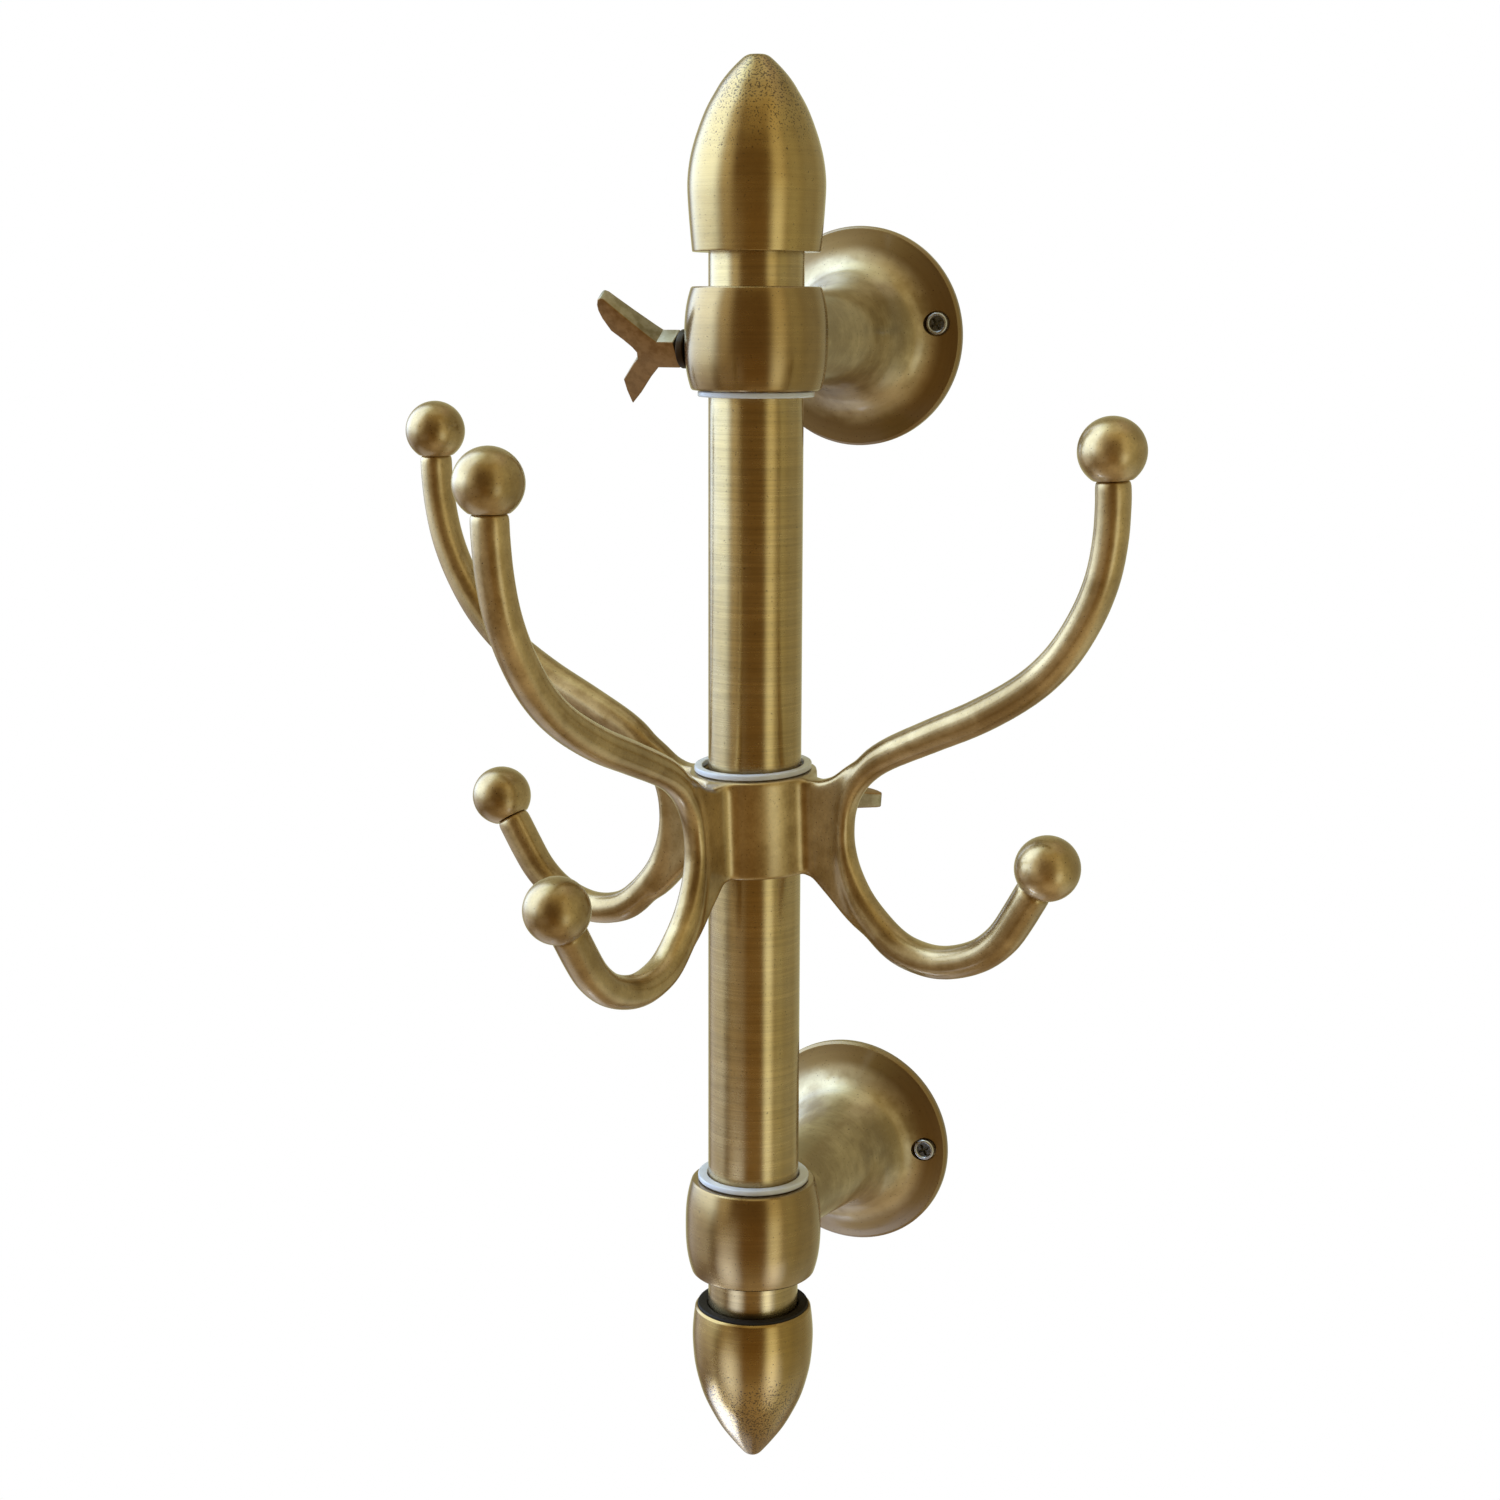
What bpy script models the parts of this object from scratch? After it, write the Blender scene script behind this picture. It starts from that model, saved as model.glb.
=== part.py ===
"""Wall coat rack: an upright post held off the wall by two brackets, and a cast ring with three
double hooks that slides and turns on the post.

Metres, +Z up. The origin is the middle of the upper flange's back face, on the wall. The wall lies
along XZ, +Y points into it and the room is at -Y.
"""
import math

import bmesh
import bpy
from mathutils import Matrix, Vector

MM = 0.001

# Fits between pieces
GAP = 0.3 * MM
MERGE = 0.001 * MM
OVERRUN = 4 * MM

# Post
POST_RADIUS = 16 * MM
POST_WALL = 2 * MM
STANDOFF = 98.5 * MM
BRACKET_SPAN = 311 * MM
POST_STEPS = 36

# Collars
COLLAR_HEIGHT = 34 * MM
COLLAR_RIM_RADIUS = 21.9 * MM
COLLAR_BELLY_RADIUS = 24.05 * MM
COLLAR_EDGE = 0.7 * MM
COLLAR_RUNNING_FIT = 0.5 * MM
COLLAR_STEPS = 28
BARREL_POWER = 2.6
BARREL_SHARES = (1.0, 0.74, 0.4, 0.0, -0.4, -0.74, -1.0)

# Wall flanges, bell shaped, each in one piece with its neck
FLANGE_RADIUS = 40 * MM
FLANGE_RIM = 3 * MM
BELL_DEPTH = 29 * MM
NECK_RADIUS = 12.8 * MM
NECK_FOOT_RADIUS = 18.3 * MM
NECK_INSERT = 7 * MM
BELL_STEPS = 28
NECK_SHARES = ((0.0, 1.0), (0.33, 0.59), (0.655, 0.286), (0.855, 0.114))
BELL_FACE_SHARES = ((0.0, 1.0), (0.05, 0.75), (0.134, 0.5), (0.244, 0.315), (0.364, 0.204), (0.493, 0.131),
                    (0.631, 0.081), (0.816, 0.035), (1.0, 0.0))
POCKET_RADIUS = 25.5 * MM
POCKET_DEPTH = 4.5 * MM
HEART_RADIUS = 14.5 * MM
HEART_DEPTH = 19 * MM
BOSS_RADIUS = 11 * MM

# Screws that join the collars to the necks
JOINT_SCREW_RADIUS = 3 * MM
JOINT_SCREW_LENGTH = 18 * MM
JOINT_HEAD_RADIUS = 5.5 * MM
JOINT_HEAD_DEPTH = 2.7 * MM
JOINT_STEPS = 16

# Wall screws
WALL_SCREW_PLACE = 32 * MM
UPPER_SCREWS_TURN = math.radians(8.7)
LOWER_SCREWS_TURN = math.radians(2.8)
WALL_SCREW_RADIUS = 2 * MM
WALL_SCREW_REACH = 14 * MM
WALL_SCREW_POINT = 4 * MM
WALL_HEAD_RADIUS = 3.8 * MM
WALL_HEAD_HEIGHT = 2.2 * MM
WALL_HEAD_DOME = 0.7 * MM
WALL_SEAT = 3.2 * MM
WALL_SINK_RADIUS = 4.7 * MM
CROSS_LENGTH = 4.4 * MM
CROSS_WIDTH = 0.9 * MM
CROSS_DEPTH = 1.3 * MM
SCREW_STEPS = 16

# Plastic washers
WASHER_RADIUS = 19.6 * MM
WASHER_THICKNESS = 1.9 * MM
RING_WASHER_RADIUS = 20.2 * MM
WASHER_STEPS = 32

# Finials
UPPER_FINIAL_HEIGHT = 63.3 * MM
UPPER_FINIAL_RADIUS = 22.95 * MM
UPPER_REVEAL = 11.3 * MM
LOWER_FINIAL_HEIGHT = 58.5 * MM
LOWER_FINIAL_RADIUS = 21.6 * MM
LOWER_REVEAL = 12 * MM
SOCKET_DEPTH = 14 * MM
FINIAL_STEPS = 24
UPPER_FINIAL_SHARES = ((1.0, 0.12), (0.985, 0.2), (0.93, 0.36), (0.87, 0.5), (0.81, 0.605), (0.74, 0.715),
                       (0.66, 0.81), (0.56, 0.905), (0.46, 0.97), (0.35, 1.0), (0.22, 0.985), (0.1, 0.958),
                       (0.0, 0.932))
LOWER_FINIAL_SHARES = ((1.0, 0.11), (0.98, 0.17), (0.9, 0.345), (0.8, 0.54), (0.7, 0.69), (0.6, 0.815),
                       (0.5, 0.9), (0.4, 0.96), (0.3, 0.99), (0.2, 1.0), (0.1, 0.982), (0.0, 0.945))

# Plugs in the tube's ends, with the studs that the finials screw on
PLUG_LENGTH = 12 * MM
PLUG_STUD_RADIUS = 4 * MM
PLUG_STUD_LENGTH = 14 * MM
PLUG_STEPS = 20

# Seal in the lower finial's mouth
MOUTH_WALL = 1.2 * MM
MOUTH_DEPTH = 6 * MM
SEAL_SETBACK = 1.2 * MM

# Hook casting: the ring, which leans on the post by its play
RING_DROP = 163 * MM
RING_HEIGHT = 34 * MM
RING_WALL = 4.8 * MM
RING_PLAY = 1.2 * MM
RING_STEPS = 36
LEAN_FORWARD = math.radians(2.8)
LEAN_SIDEWAYS = math.radians(-0.8)
CASTING_TURN = math.radians(-10)
HOOK_ANGLES = {"right": 0.0, "front": math.radians(-90), "left": math.radians(180)}

# Hook casting: arms and webs, drawn in the upright plane of each hook. A point of the upper arm
# holds its share of the way out from the ring to the upper ball and of the upper ball's height, and
# one of the lower arm its share of the way out to the lower ball and of the lower hook's depth. An
# arm station goes on with the width in the hook's plane and the depth across it, as shares of the
# arm's thickness.
HOOK_REACH = 134.3 * MM
HOOK_RISE = 129.8 * MM
LOWER_HOOK_SETBACK = 22.2 * MM
LOWER_HOOK_DEPTH = 41.7 * MM
ARM_THICKNESS = 11.7 * MM
ARM_SIDES = 10
ARM_DIVISIONS = 2
UPPER_ARM_SHARES = (
    (1.004, 0.886, 0.92, 1.0), (0.996, 0.793, 0.92, 1.0), (0.971, 0.693, 0.92, 1.0), (0.92, 0.593, 0.93, 1.0),
    (0.842, 0.494, 0.94, 0.99), (0.738, 0.412, 0.95, 0.98), (0.588, 0.334, 0.97, 0.97),
    (0.427, 0.27, 0.94, 0.95), (0.287, 0.213, 0.88, 0.9), (0.216, 0.171, 0.79, 0.84),
    (0.166, 0.117, 0.63, 0.77), (0.139, 0.058, 0.5, 0.71), (0.13, 0.004, 0.46, 0.68))
LOWER_ARM_SHARES = (
    (0.162, -0.168, 0.5, 0.71), (0.182, -0.395, 0.68, 0.77), (0.239, -0.647, 0.86, 0.86),
    (0.358, -0.9, 0.93, 0.94), (0.47, -0.993, 0.93, 0.97), (0.585, -0.999, 0.94, 0.97),
    (0.72, -0.9, 0.95, 0.97), (0.819, -0.728, 0.98, 0.98), (0.887, -0.517, 1.0, 1.0))
WEB_THICKNESS = 6 * MM
WEB_INSET = 0.4 * MM
WEB_ROOT = 2.5 * MM
WEB_UPPER_SHARES = ((0.058, 0.126), (0.098, 0.14), (0.143, 0.169), (0.214, 0.208), (0.3, 0.216),
                    (0.216, 0.171), (0.166, 0.117), (0.139, 0.058), (0.13, 0.004))
WEB_LOWER_SHARES = ((0.162, -0.168), (0.182, -0.395), (0.239, -0.647), (0.361, -0.903), (0.28, -0.903),
                    (0.188, -0.781), (0.088, -0.573), (0.024, -0.442))

# Ball ends, each with a socket for the tenon of its arm
BALL_RADIUS = 10.9 * MM
BALL_LIP = 0.4 * MM
LOWER_BALL_DROP = 4.5 * MM
UPPER_BALL_TILT = math.radians(-2)
LOWER_BALL_TILT = math.radians(30.5)
TENON_RADIUS = 3 * MM
TENON_LENGTH = 6 * MM
BALL_STEPS = 14
BALL_ARCS = 7

# Wing screws: lengths along the screw count from the hub's base. A wing's outline holds the share
# of the reach along the screw and the share of the half span across it.
STUD_RADIUS = 3 * MM
STUD_GRIP = 9 * MM
HUB_RADIUS = 4.6 * MM
HUB_BASE_RADIUS = 6.4 * MM
HUB_BASE_LENGTH = 2.6 * MM
HUB_LENGTH = 17 * MM
WING_REACH = 29 * MM
WING_HALF_SPAN = 22.5 * MM
WING_THICKNESS = 5 * MM
STUD_STEPS = 16
BRACKET_SCREW_DROP = 3.6 * MM
BRACKET_WING_TURN = math.radians(-36)
HOOK_WING_TURN = math.radians(6)
WING_SHARES = ((0.28, 0.16), (0.37, 0.34), (0.74, 0.84), (0.84, 0.97), (0.93, 1.0), (1.0, 0.94), (1.01, 0.78),
               (0.97, 0.6), (0.84, 0.36), (0.67, 0.12))

# Sizes that follow
COLLAR_BORE = POST_RADIUS + COLLAR_RUNNING_FIT
RING_BORE = POST_RADIUS + RING_PLAY
RING_RADIUS = RING_BORE + RING_WALL
POST_TOP = COLLAR_HEIGHT / 2 + UPPER_REVEAL + SOCKET_DEPTH
POST_DEPTH = BRACKET_SPAN + COLLAR_HEIGHT / 2 + LOWER_REVEAL + SOCKET_DEPTH
NECK_FACE = STANDOFF - COLLAR_BELLY_RADIUS + NECK_INSERT
LOWER_REACH = HOOK_REACH - LOWER_HOOK_SETBACK
BALL_NECK_RADIUS = ARM_THICKNESS / 2 + BALL_LIP
BALL_FLAT = math.sqrt(BALL_RADIUS ** 2 - BALL_NECK_RADIUS ** 2)

# Turns that point a piece's own Z into the wall, out to the room, or to the left
TO_WALL = (-math.pi / 2, 0, 0)
TO_ROOM = (math.pi / 2, 0, 0)
TO_LEFT = (0, -math.pi / 2, 0)


def start_scene():
    """Empty the scene and make two collections: the rack's pieces, and what only cuts or joins."""
    for old in list(bpy.data.objects):
        bpy.data.objects.remove(old, do_unlink=True)
    groups = [bpy.data.collections.new(name) for name in ("wall_coat_rack", "shaping_solids")]
    for group in groups:
        bpy.context.scene.collection.children.link(group)
    return groups


RACK, SHAPING = start_scene()


def surface(name, colour, roughness, metallic):
    """A Principled material."""
    made = bpy.data.materials.new(name)
    made.use_nodes = True
    shader = made.node_tree.nodes["Principled BSDF"]
    shader.inputs["Base Color"].default_value = (*colour, 1.0)
    shader.inputs["Roughness"].default_value = roughness
    shader.inputs["Metallic"].default_value = metallic
    return made


BRUSHED_BRASS = surface("brushed_brass", (0.36, 0.24, 0.09), 0.32, 1.0)
CAST_BRASS = surface("cast_brass", (0.33, 0.22, 0.09), 0.36, 1.0)
WING_BRONZE = surface("wing_bronze", (0.2, 0.12, 0.05), 0.5, 1.0)
STEEL = surface("screw_steel", (0.5, 0.5, 0.48), 0.35, 1.0)
PLASTIC = surface("washer_plastic", (0.82, 0.83, 0.85), 0.35, 0.0)
RUBBER = surface("seal_rubber", (0.02, 0.017, 0.014), 0.6, 0.0)


def place_at(obj, parent=None, place=(0, 0, 0), turn=(0, 0, 0)):
    """Set an object's parent, place and turn."""
    obj.parent = parent
    obj.location = place
    obj.rotation_euler = turn
    return obj


def piece(obj, look, *where):
    """Keep an object as one of the rack's pieces."""
    RACK.objects.link(obj)
    obj.data.materials.append(look)
    return place_at(obj, *where)


def tool(obj, *where):
    """Keep an object as a solid that only cuts or joins."""
    SHAPING.objects.link(obj)
    obj.hide_render = True
    obj.display_type = "WIRE"
    return place_at(obj, *where)


def guide(name, *where):
    """An empty that stands for a joint axis or a mounting place."""
    empty = bpy.data.objects.new(name, None)
    RACK.objects.link(empty)
    return place_at(empty, *where)


def turned(name, profile, steps, closed=False):
    """A shape turned about its own Z. The profile (radius, height) runs down its outer side."""
    mesh = bpy.data.meshes.new(name)
    edges = [(i, i + 1) for i in range(len(profile) - 1)]
    if closed:
        edges.append((len(profile) - 1, 0))
    mesh.from_pydata([(radius, 0, height) for radius, height in profile], edges, [])
    obj = bpy.data.objects.new(name, mesh)
    screw = obj.modifiers.new("turn", "SCREW")
    screw.angle = math.tau
    screw.steps = steps
    screw.render_steps = steps
    screw.use_merge_vertices = True
    screw.merge_threshold = MERGE
    screw.use_smooth_shade = True
    return obj


def rod(name, radius, bottom, top, steps, top_radius=None):
    """A cylinder between two heights, or a cone where its top has another radius."""
    return turned(name, [(0, top), (top_radius or radius, top), (radius, bottom), (0, bottom)], steps)


def hoop(name, inner, outer, bottom, top, steps):
    """A flat ring between two radii and two heights."""
    return turned(name, [(outer, top), (outer, bottom), (inner, bottom), (inner, top)], steps, closed=True)


def block(name, width, depth, height):
    """A box round its own origin."""
    mesh = bpy.data.meshes.new(name)
    form = bmesh.new()
    bmesh.ops.create_cube(form, size=1)
    bmesh.ops.scale(form, vec=(width, depth, height), verts=form.verts)
    form.to_mesh(mesh)
    form.free()
    return bpy.data.objects.new(name, mesh)


def sheet(name, outline, thickness):
    """A flat outline (across, up) of one thickness, standing upright in its own XZ plane."""
    curve = bpy.data.curves.new(name, "CURVE")
    curve.dimensions = "2D"
    curve.fill_mode = "BOTH"
    curve.extrude = thickness / 2
    spline = curve.splines.new("POLY")
    spline.points.add(len(outline) - 1)
    for point, (across, up) in zip(spline.points, outline):
        point.co = (across, up, 0, 1)
    spline.use_cyclic_u = True
    drawn = bpy.data.objects.new(name + "_outline", curve)
    SHAPING.objects.link(drawn)
    bpy.context.view_layer.update()
    evaluated = drawn.evaluated_get(bpy.context.evaluated_depsgraph_get())
    mesh = bpy.data.meshes.new_from_object(evaluated)
    bpy.data.objects.remove(drawn)
    form = bmesh.new()
    form.from_mesh(mesh)
    bmesh.ops.remove_doubles(form, verts=form.verts, dist=MERGE)
    bmesh.ops.rotate(form, verts=form.verts, matrix=Matrix.Rotation(math.pi / 2, 3, "X"))
    bmesh.ops.recalc_face_normals(form, faces=form.faces)
    form.to_mesh(mesh)
    form.free()
    return bpy.data.objects.new(name, mesh)


def shape(obj, how, tools):
    """Cut shaping solids out of an object, or join them to it."""
    for other in tools:
        step = obj.modifiers.new(how.lower() + "_" + other.name, "BOOLEAN")
        step.operation = how
        step.object = other
        step.solver = "EXACT"
    return obj


def smooth(rows, divisions):
    """Rows of values on a smooth curve (Catmull-Rom) through the given rows."""
    result = []
    for i, start in enumerate(rows[:-1]):
        before = rows[max(i - 1, 0)]
        end = rows[i + 1]
        after = rows[min(i + 2, len(rows) - 1)]
        for k in range(divisions):
            t = k / divisions
            result.append(tuple(
                b + (c - a) * t / 2 + (2 * a - 5 * b + 4 * c - d) * t ** 2 / 2
                + (3 * b - a - 3 * c + d) * t ** 3 / 2
                for a, b, c, d in zip(before, start, end, after)))
    result.append(tuple(rows[-1]))
    return result


def barrel(spread=0.0):
    """Outer side of a collar, top to bottom, grown by a spread."""
    swell = COLLAR_BELLY_RADIUS - COLLAR_RIM_RADIUS
    half = COLLAR_HEIGHT / 2 - COLLAR_EDGE
    return [(COLLAR_BELLY_RADIUS + spread - swell * abs(share) ** BARREL_POWER, half * share)
            for share in BARREL_SHARES]


def make_collar(name, axis, screw_axis=None):
    """A collar, with a seat for its joint screw and a threaded hole if it takes a wing screw."""
    half = COLLAR_HEIGHT / 2
    edge = COLLAR_RIM_RADIUS - COLLAR_EDGE
    profile = [(edge, half)] + barrel() + [(edge, -half), (COLLAR_BORE, -half), (COLLAR_BORE, half)]
    collar = piece(turned(name, profile, COLLAR_STEPS, closed=True), BRUSHED_BRASS, axis)
    outside = COLLAR_BELLY_RADIUS + OVERRUN
    inside = COLLAR_BORE - OVERRUN
    hole = JOINT_SCREW_RADIUS + GAP
    head = COLLAR_BORE + GAP
    mouth = JOINT_HEAD_RADIUS + GAP
    seat = [(0, outside), (hole, outside), (hole, head + JOINT_HEAD_DEPTH + GAP), (mouth, head),
            (mouth, inside), (0, inside)]
    tools = [tool(turned(name + "_joint_seat", seat, JOINT_STEPS), axis, (0, 0, 0), TO_WALL)]
    if screw_axis:
        tools.append(tool(rod(name + "_wing_hole", STUD_RADIUS + GAP, inside, outside, STUD_STEPS), screw_axis))
    return shape(collar, "DIFFERENCE", tools)


def make_joint_screw(name, axis):
    """Countersunk screw through a collar's wall into its neck, its head inside the bore's wall."""
    head = COLLAR_BORE + GAP
    under = head + JOINT_HEAD_DEPTH
    end = head + JOINT_SCREW_LENGTH
    profile = [(0, end), (JOINT_SCREW_RADIUS, end), (JOINT_SCREW_RADIUS, under), (JOINT_HEAD_RADIUS, head),
               (0, head)]
    return piece(turned(name, profile, JOINT_STEPS), STEEL, axis, (0, 0, 0), TO_WALL)


def bell_profile():
    """Half section of a flange and neck: from the neck's end, out over the face, back underneath."""
    neck = [(NECK_RADIUS + (NECK_FOOT_RADIUS - NECK_RADIUS) * out, BELL_DEPTH + (NECK_FACE - BELL_DEPTH) * up)
            for out, up in NECK_SHARES]
    face = [(NECK_FOOT_RADIUS + (FLANGE_RADIUS - NECK_FOOT_RADIUS) * out,
             FLANGE_RIM + (BELL_DEPTH - FLANGE_RIM) * up) for out, up in BELL_FACE_SHARES]
    back = [(FLANGE_RADIUS, 0), (POCKET_RADIUS, 0), (POCKET_RADIUS, POCKET_DEPTH), (HEART_RADIUS, HEART_DEPTH),
            (BOSS_RADIUS, HEART_DEPTH), (BOSS_RADIUS, 0), (0, 0)]
    return [(0, NECK_FACE)] + neck + face + back


def make_bell(name, wall, axis, screws):
    """A wall flange with its neck, hollowed at the back, the neck's end shaped to the collar."""
    bell = piece(turned(name, bell_profile(), BELL_STEPS), BRUSHED_BRASS, wall, (0, 0, 0), TO_ROOM)
    half = COLLAR_HEIGHT / 2
    bed = [(0, half)] + barrel(GAP) + [(0, -half)]
    thread_end = STANDOFF - COLLAR_BORE - JOINT_SCREW_LENGTH - GAP - GAP
    thread = rod(name + "_thread", JOINT_SCREW_RADIUS + GAP, thread_end, NECK_FACE + OVERRUN, JOINT_STEPS)
    tools = [tool(turned(name + "_collar_bed", bed, COLLAR_STEPS), axis),
             tool(thread, wall, (0, 0, 0), TO_ROOM)]
    hole = WALL_SCREW_RADIUS + GAP
    sink = [(0, BELL_DEPTH), (WALL_SINK_RADIUS, BELL_DEPTH), (WALL_SINK_RADIUS, WALL_SEAT), (hole, WALL_SEAT),
            (hole, -OVERRUN), (0, -OVERRUN)]
    for side, across in (("left", -WALL_SCREW_PLACE), ("right", WALL_SCREW_PLACE)):
        tools.append(tool(turned(f"{name}_{side}_sink", sink, SCREW_STEPS), screws, (across, 0, 0), TO_ROOM))
    return shape(bell, "DIFFERENCE", tools)


def make_wall_screw(name, screws, across):
    """A cross-head wood screw: its head sits in the flange, its shank goes on into the wall."""
    under = WALL_SEAT + GAP
    rim = under + WALL_HEAD_HEIGHT
    crown = rim + WALL_HEAD_DOME
    waist = WALL_SCREW_POINT - WALL_SCREW_REACH
    profile = [(0, crown), (WALL_HEAD_RADIUS / 2, crown), (WALL_HEAD_RADIUS, rim), (WALL_HEAD_RADIUS, under),
               (WALL_SCREW_RADIUS, under), (WALL_SCREW_RADIUS, waist), (0, -WALL_SCREW_REACH)]
    screw = piece(turned(name, profile, SCREW_STEPS), STEEL, screws, (across, 0, 0), TO_ROOM)
    depth = CROSS_DEPTH + OVERRUN
    middle = (across, CROSS_DEPTH - crown - depth / 2, 0)
    bars = [block(name + "_bar_across", CROSS_LENGTH, CROSS_WIDTH, depth),
            block(name + "_bar_upright", CROSS_WIDTH, CROSS_LENGTH, depth)]
    return shape(screw, "DIFFERENCE", [tool(bar, screws, middle, TO_ROOM) for bar in bars])


def make_bracket(level, wall, axis, screws_turn, screw_axis=None):
    """A collar, its flange with neck, the screw that joins them and the two wall screws."""
    screws = guide(level + "_wall_screws", wall, (0, 0, 0), (0, -screws_turn, 0))
    make_collar(level + "_collar", axis, screw_axis)
    make_bell(level + "_wall_flange", wall, axis, screws)
    make_joint_screw(level + "_joint_screw", axis)
    make_wall_screw(level + "_wall_screw_left", screws, -WALL_SCREW_PLACE)
    make_wall_screw(level + "_wall_screw_right", screws, WALL_SCREW_PLACE)


def make_finial(name, frame, height, radius, shares, mouth_depth=0.0, mouth_radius=0.0):
    """A turned finial on the tube's end. Its own Z runs from the mouth to the tip."""
    side = [(radius * out, height * up) for up, out in shares]
    socket = POST_RADIUS + GAP
    floor = SOCKET_DEPTH + GAP
    thread = PLUG_STUD_RADIUS + GAP
    thread_end = floor + PLUG_STUD_LENGTH + GAP
    if mouth_depth:
        inside = [(mouth_radius, 0), (mouth_radius, mouth_depth), (socket, mouth_depth)]
    else:
        inside = [(socket, 0)]
    bored = [(socket, floor), (thread, floor), (thread, thread_end), (0, thread_end)]
    return piece(turned(name, [(0, height)] + side + inside + bored, FINIAL_STEPS), BRUSHED_BRASS, frame)


def make_plug(name, frame):
    """A plug inside the tube's end, with the stud that takes the finial."""
    end = SOCKET_DEPTH
    radius = POST_RADIUS - POST_WALL - GAP
    profile = [(0, end + PLUG_STUD_LENGTH), (PLUG_STUD_RADIUS, end + PLUG_STUD_LENGTH), (PLUG_STUD_RADIUS, end),
               (radius, end), (radius, end - PLUG_LENGTH), (0, end - PLUG_LENGTH)]
    return piece(turned(name, profile, PLUG_STEPS), STEEL, frame)


def make_post(post_axis):
    """The tube with a plug and a finial at each end, and the seal in the lower finial's mouth."""
    tube = hoop("post_tube", POST_RADIUS - POST_WALL, POST_RADIUS, -POST_DEPTH, POST_TOP, POST_STEPS)
    piece(tube, BRUSHED_BRASS, post_axis)
    upper = guide("upper_mouth", post_axis, (0, 0, POST_TOP - SOCKET_DEPTH))
    lower = guide("lower_mouth", post_axis, (0, 0, SOCKET_DEPTH - POST_DEPTH), (math.pi, 0, 0))
    make_finial("upper_finial", upper, UPPER_FINIAL_HEIGHT, UPPER_FINIAL_RADIUS, UPPER_FINIAL_SHARES)
    make_plug("upper_tube_plug", upper)
    mouth = LOWER_FINIAL_RADIUS * LOWER_FINIAL_SHARES[-1][1] - MOUTH_WALL
    make_finial("lower_finial", lower, LOWER_FINIAL_HEIGHT, LOWER_FINIAL_RADIUS, LOWER_FINIAL_SHARES,
                MOUTH_DEPTH, mouth)
    make_plug("lower_tube_plug", lower)
    seal = hoop("mouth_seal", POST_RADIUS + GAP, mouth - GAP, SEAL_SETBACK, MOUTH_DEPTH - GAP, POST_STEPS)
    piece(seal, RUBBER, lower)


def make_washers(post_axis, casting_frame):
    """The three plastic washers: under the upper collar, on the hook ring and on the lower collar."""
    half = COLLAR_HEIGHT / 2
    inner = POST_RADIUS + GAP
    top = -half - GAP
    upper = hoop("upper_washer", inner, WASHER_RADIUS, top - WASHER_THICKNESS, top, WASHER_STEPS)
    piece(upper, PLASTIC, post_axis)
    bottom = half - BRACKET_SPAN + GAP
    lower = hoop("lower_washer", inner, WASHER_RADIUS, bottom, bottom + WASHER_THICKNESS, WASHER_STEPS)
    piece(lower, PLASTIC, post_axis)
    seat = RING_HEIGHT / 2 + GAP
    ring = hoop("hook_washer", RING_BORE + GAP, RING_WASHER_RADIUS, seat, seat + WASHER_THICKNESS, WASHER_STEPS)
    piece(ring, PLASTIC, casting_frame)


def upper_point(out, up):
    """A point of a hook's plane by its shares of the upper arm's reach and rise."""
    return Vector((RING_RADIUS + (HOOK_REACH - RING_RADIUS) * out, 0, HOOK_RISE * up))


def lower_point(out, up):
    """A point of a hook's plane by its shares of the lower arm's reach and depth."""
    return Vector((RING_RADIUS + (LOWER_REACH - RING_RADIUS) * out, 0, LOWER_HOOK_DEPTH * up))


def ball_place(lower):
    """Middle of a ball in its hook's plane, the way it points off its arm, and its tilt."""
    tilt = LOWER_BALL_TILT if lower else UPPER_BALL_TILT
    middle = Vector((LOWER_REACH, 0, -LOWER_BALL_DROP)) if lower else Vector((HOOK_REACH, 0, HOOK_RISE))
    return middle, Vector((math.sin(tilt), 0, math.cos(tilt))), tilt


def arm_sections():
    """Middle, direction, width and depth of each section of a double arm, upper end to lower end."""
    stations = []
    for point, shares in ((upper_point, UPPER_ARM_SHARES), (lower_point, LOWER_ARM_SHARES)):
        stations += [(*point(out, up), ARM_THICKNESS * width, ARM_THICKNESS * depth)
                     for out, up, width, depth in shares]
    rows = smooth(stations, ARM_DIVISIONS)
    middles = [Vector(row[:3]) for row in rows]
    sizes = [row[3:] for row in rows]
    upper, upward, _ = ball_place(lower=False)
    lower, outward, _ = ball_place(lower=True)
    upper_end = upper - upward * (BALL_FLAT + GAP)
    lower_end = lower - outward * (BALL_FLAT + GAP)
    middles = [upper_end] + middles + [lower_end]
    sizes = [sizes[0]] + sizes + [sizes[-1]]
    ways = [(after - before).normalized() for before, after in zip(middles[:-2], middles[2:])]
    ways = [-upward] + ways + [outward]
    tenon = (TENON_RADIUS + TENON_RADIUS, TENON_RADIUS + TENON_RADIUS)
    upper_tenon = [(upper_end + upward * TENON_LENGTH, -upward, tenon), (upper_end, -upward, tenon)]
    lower_tenon = [(lower_end, outward, tenon), (lower_end + outward * TENON_LENGTH, outward, tenon)]
    return upper_tenon + list(zip(middles, ways, sizes)) + lower_tenon


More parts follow.
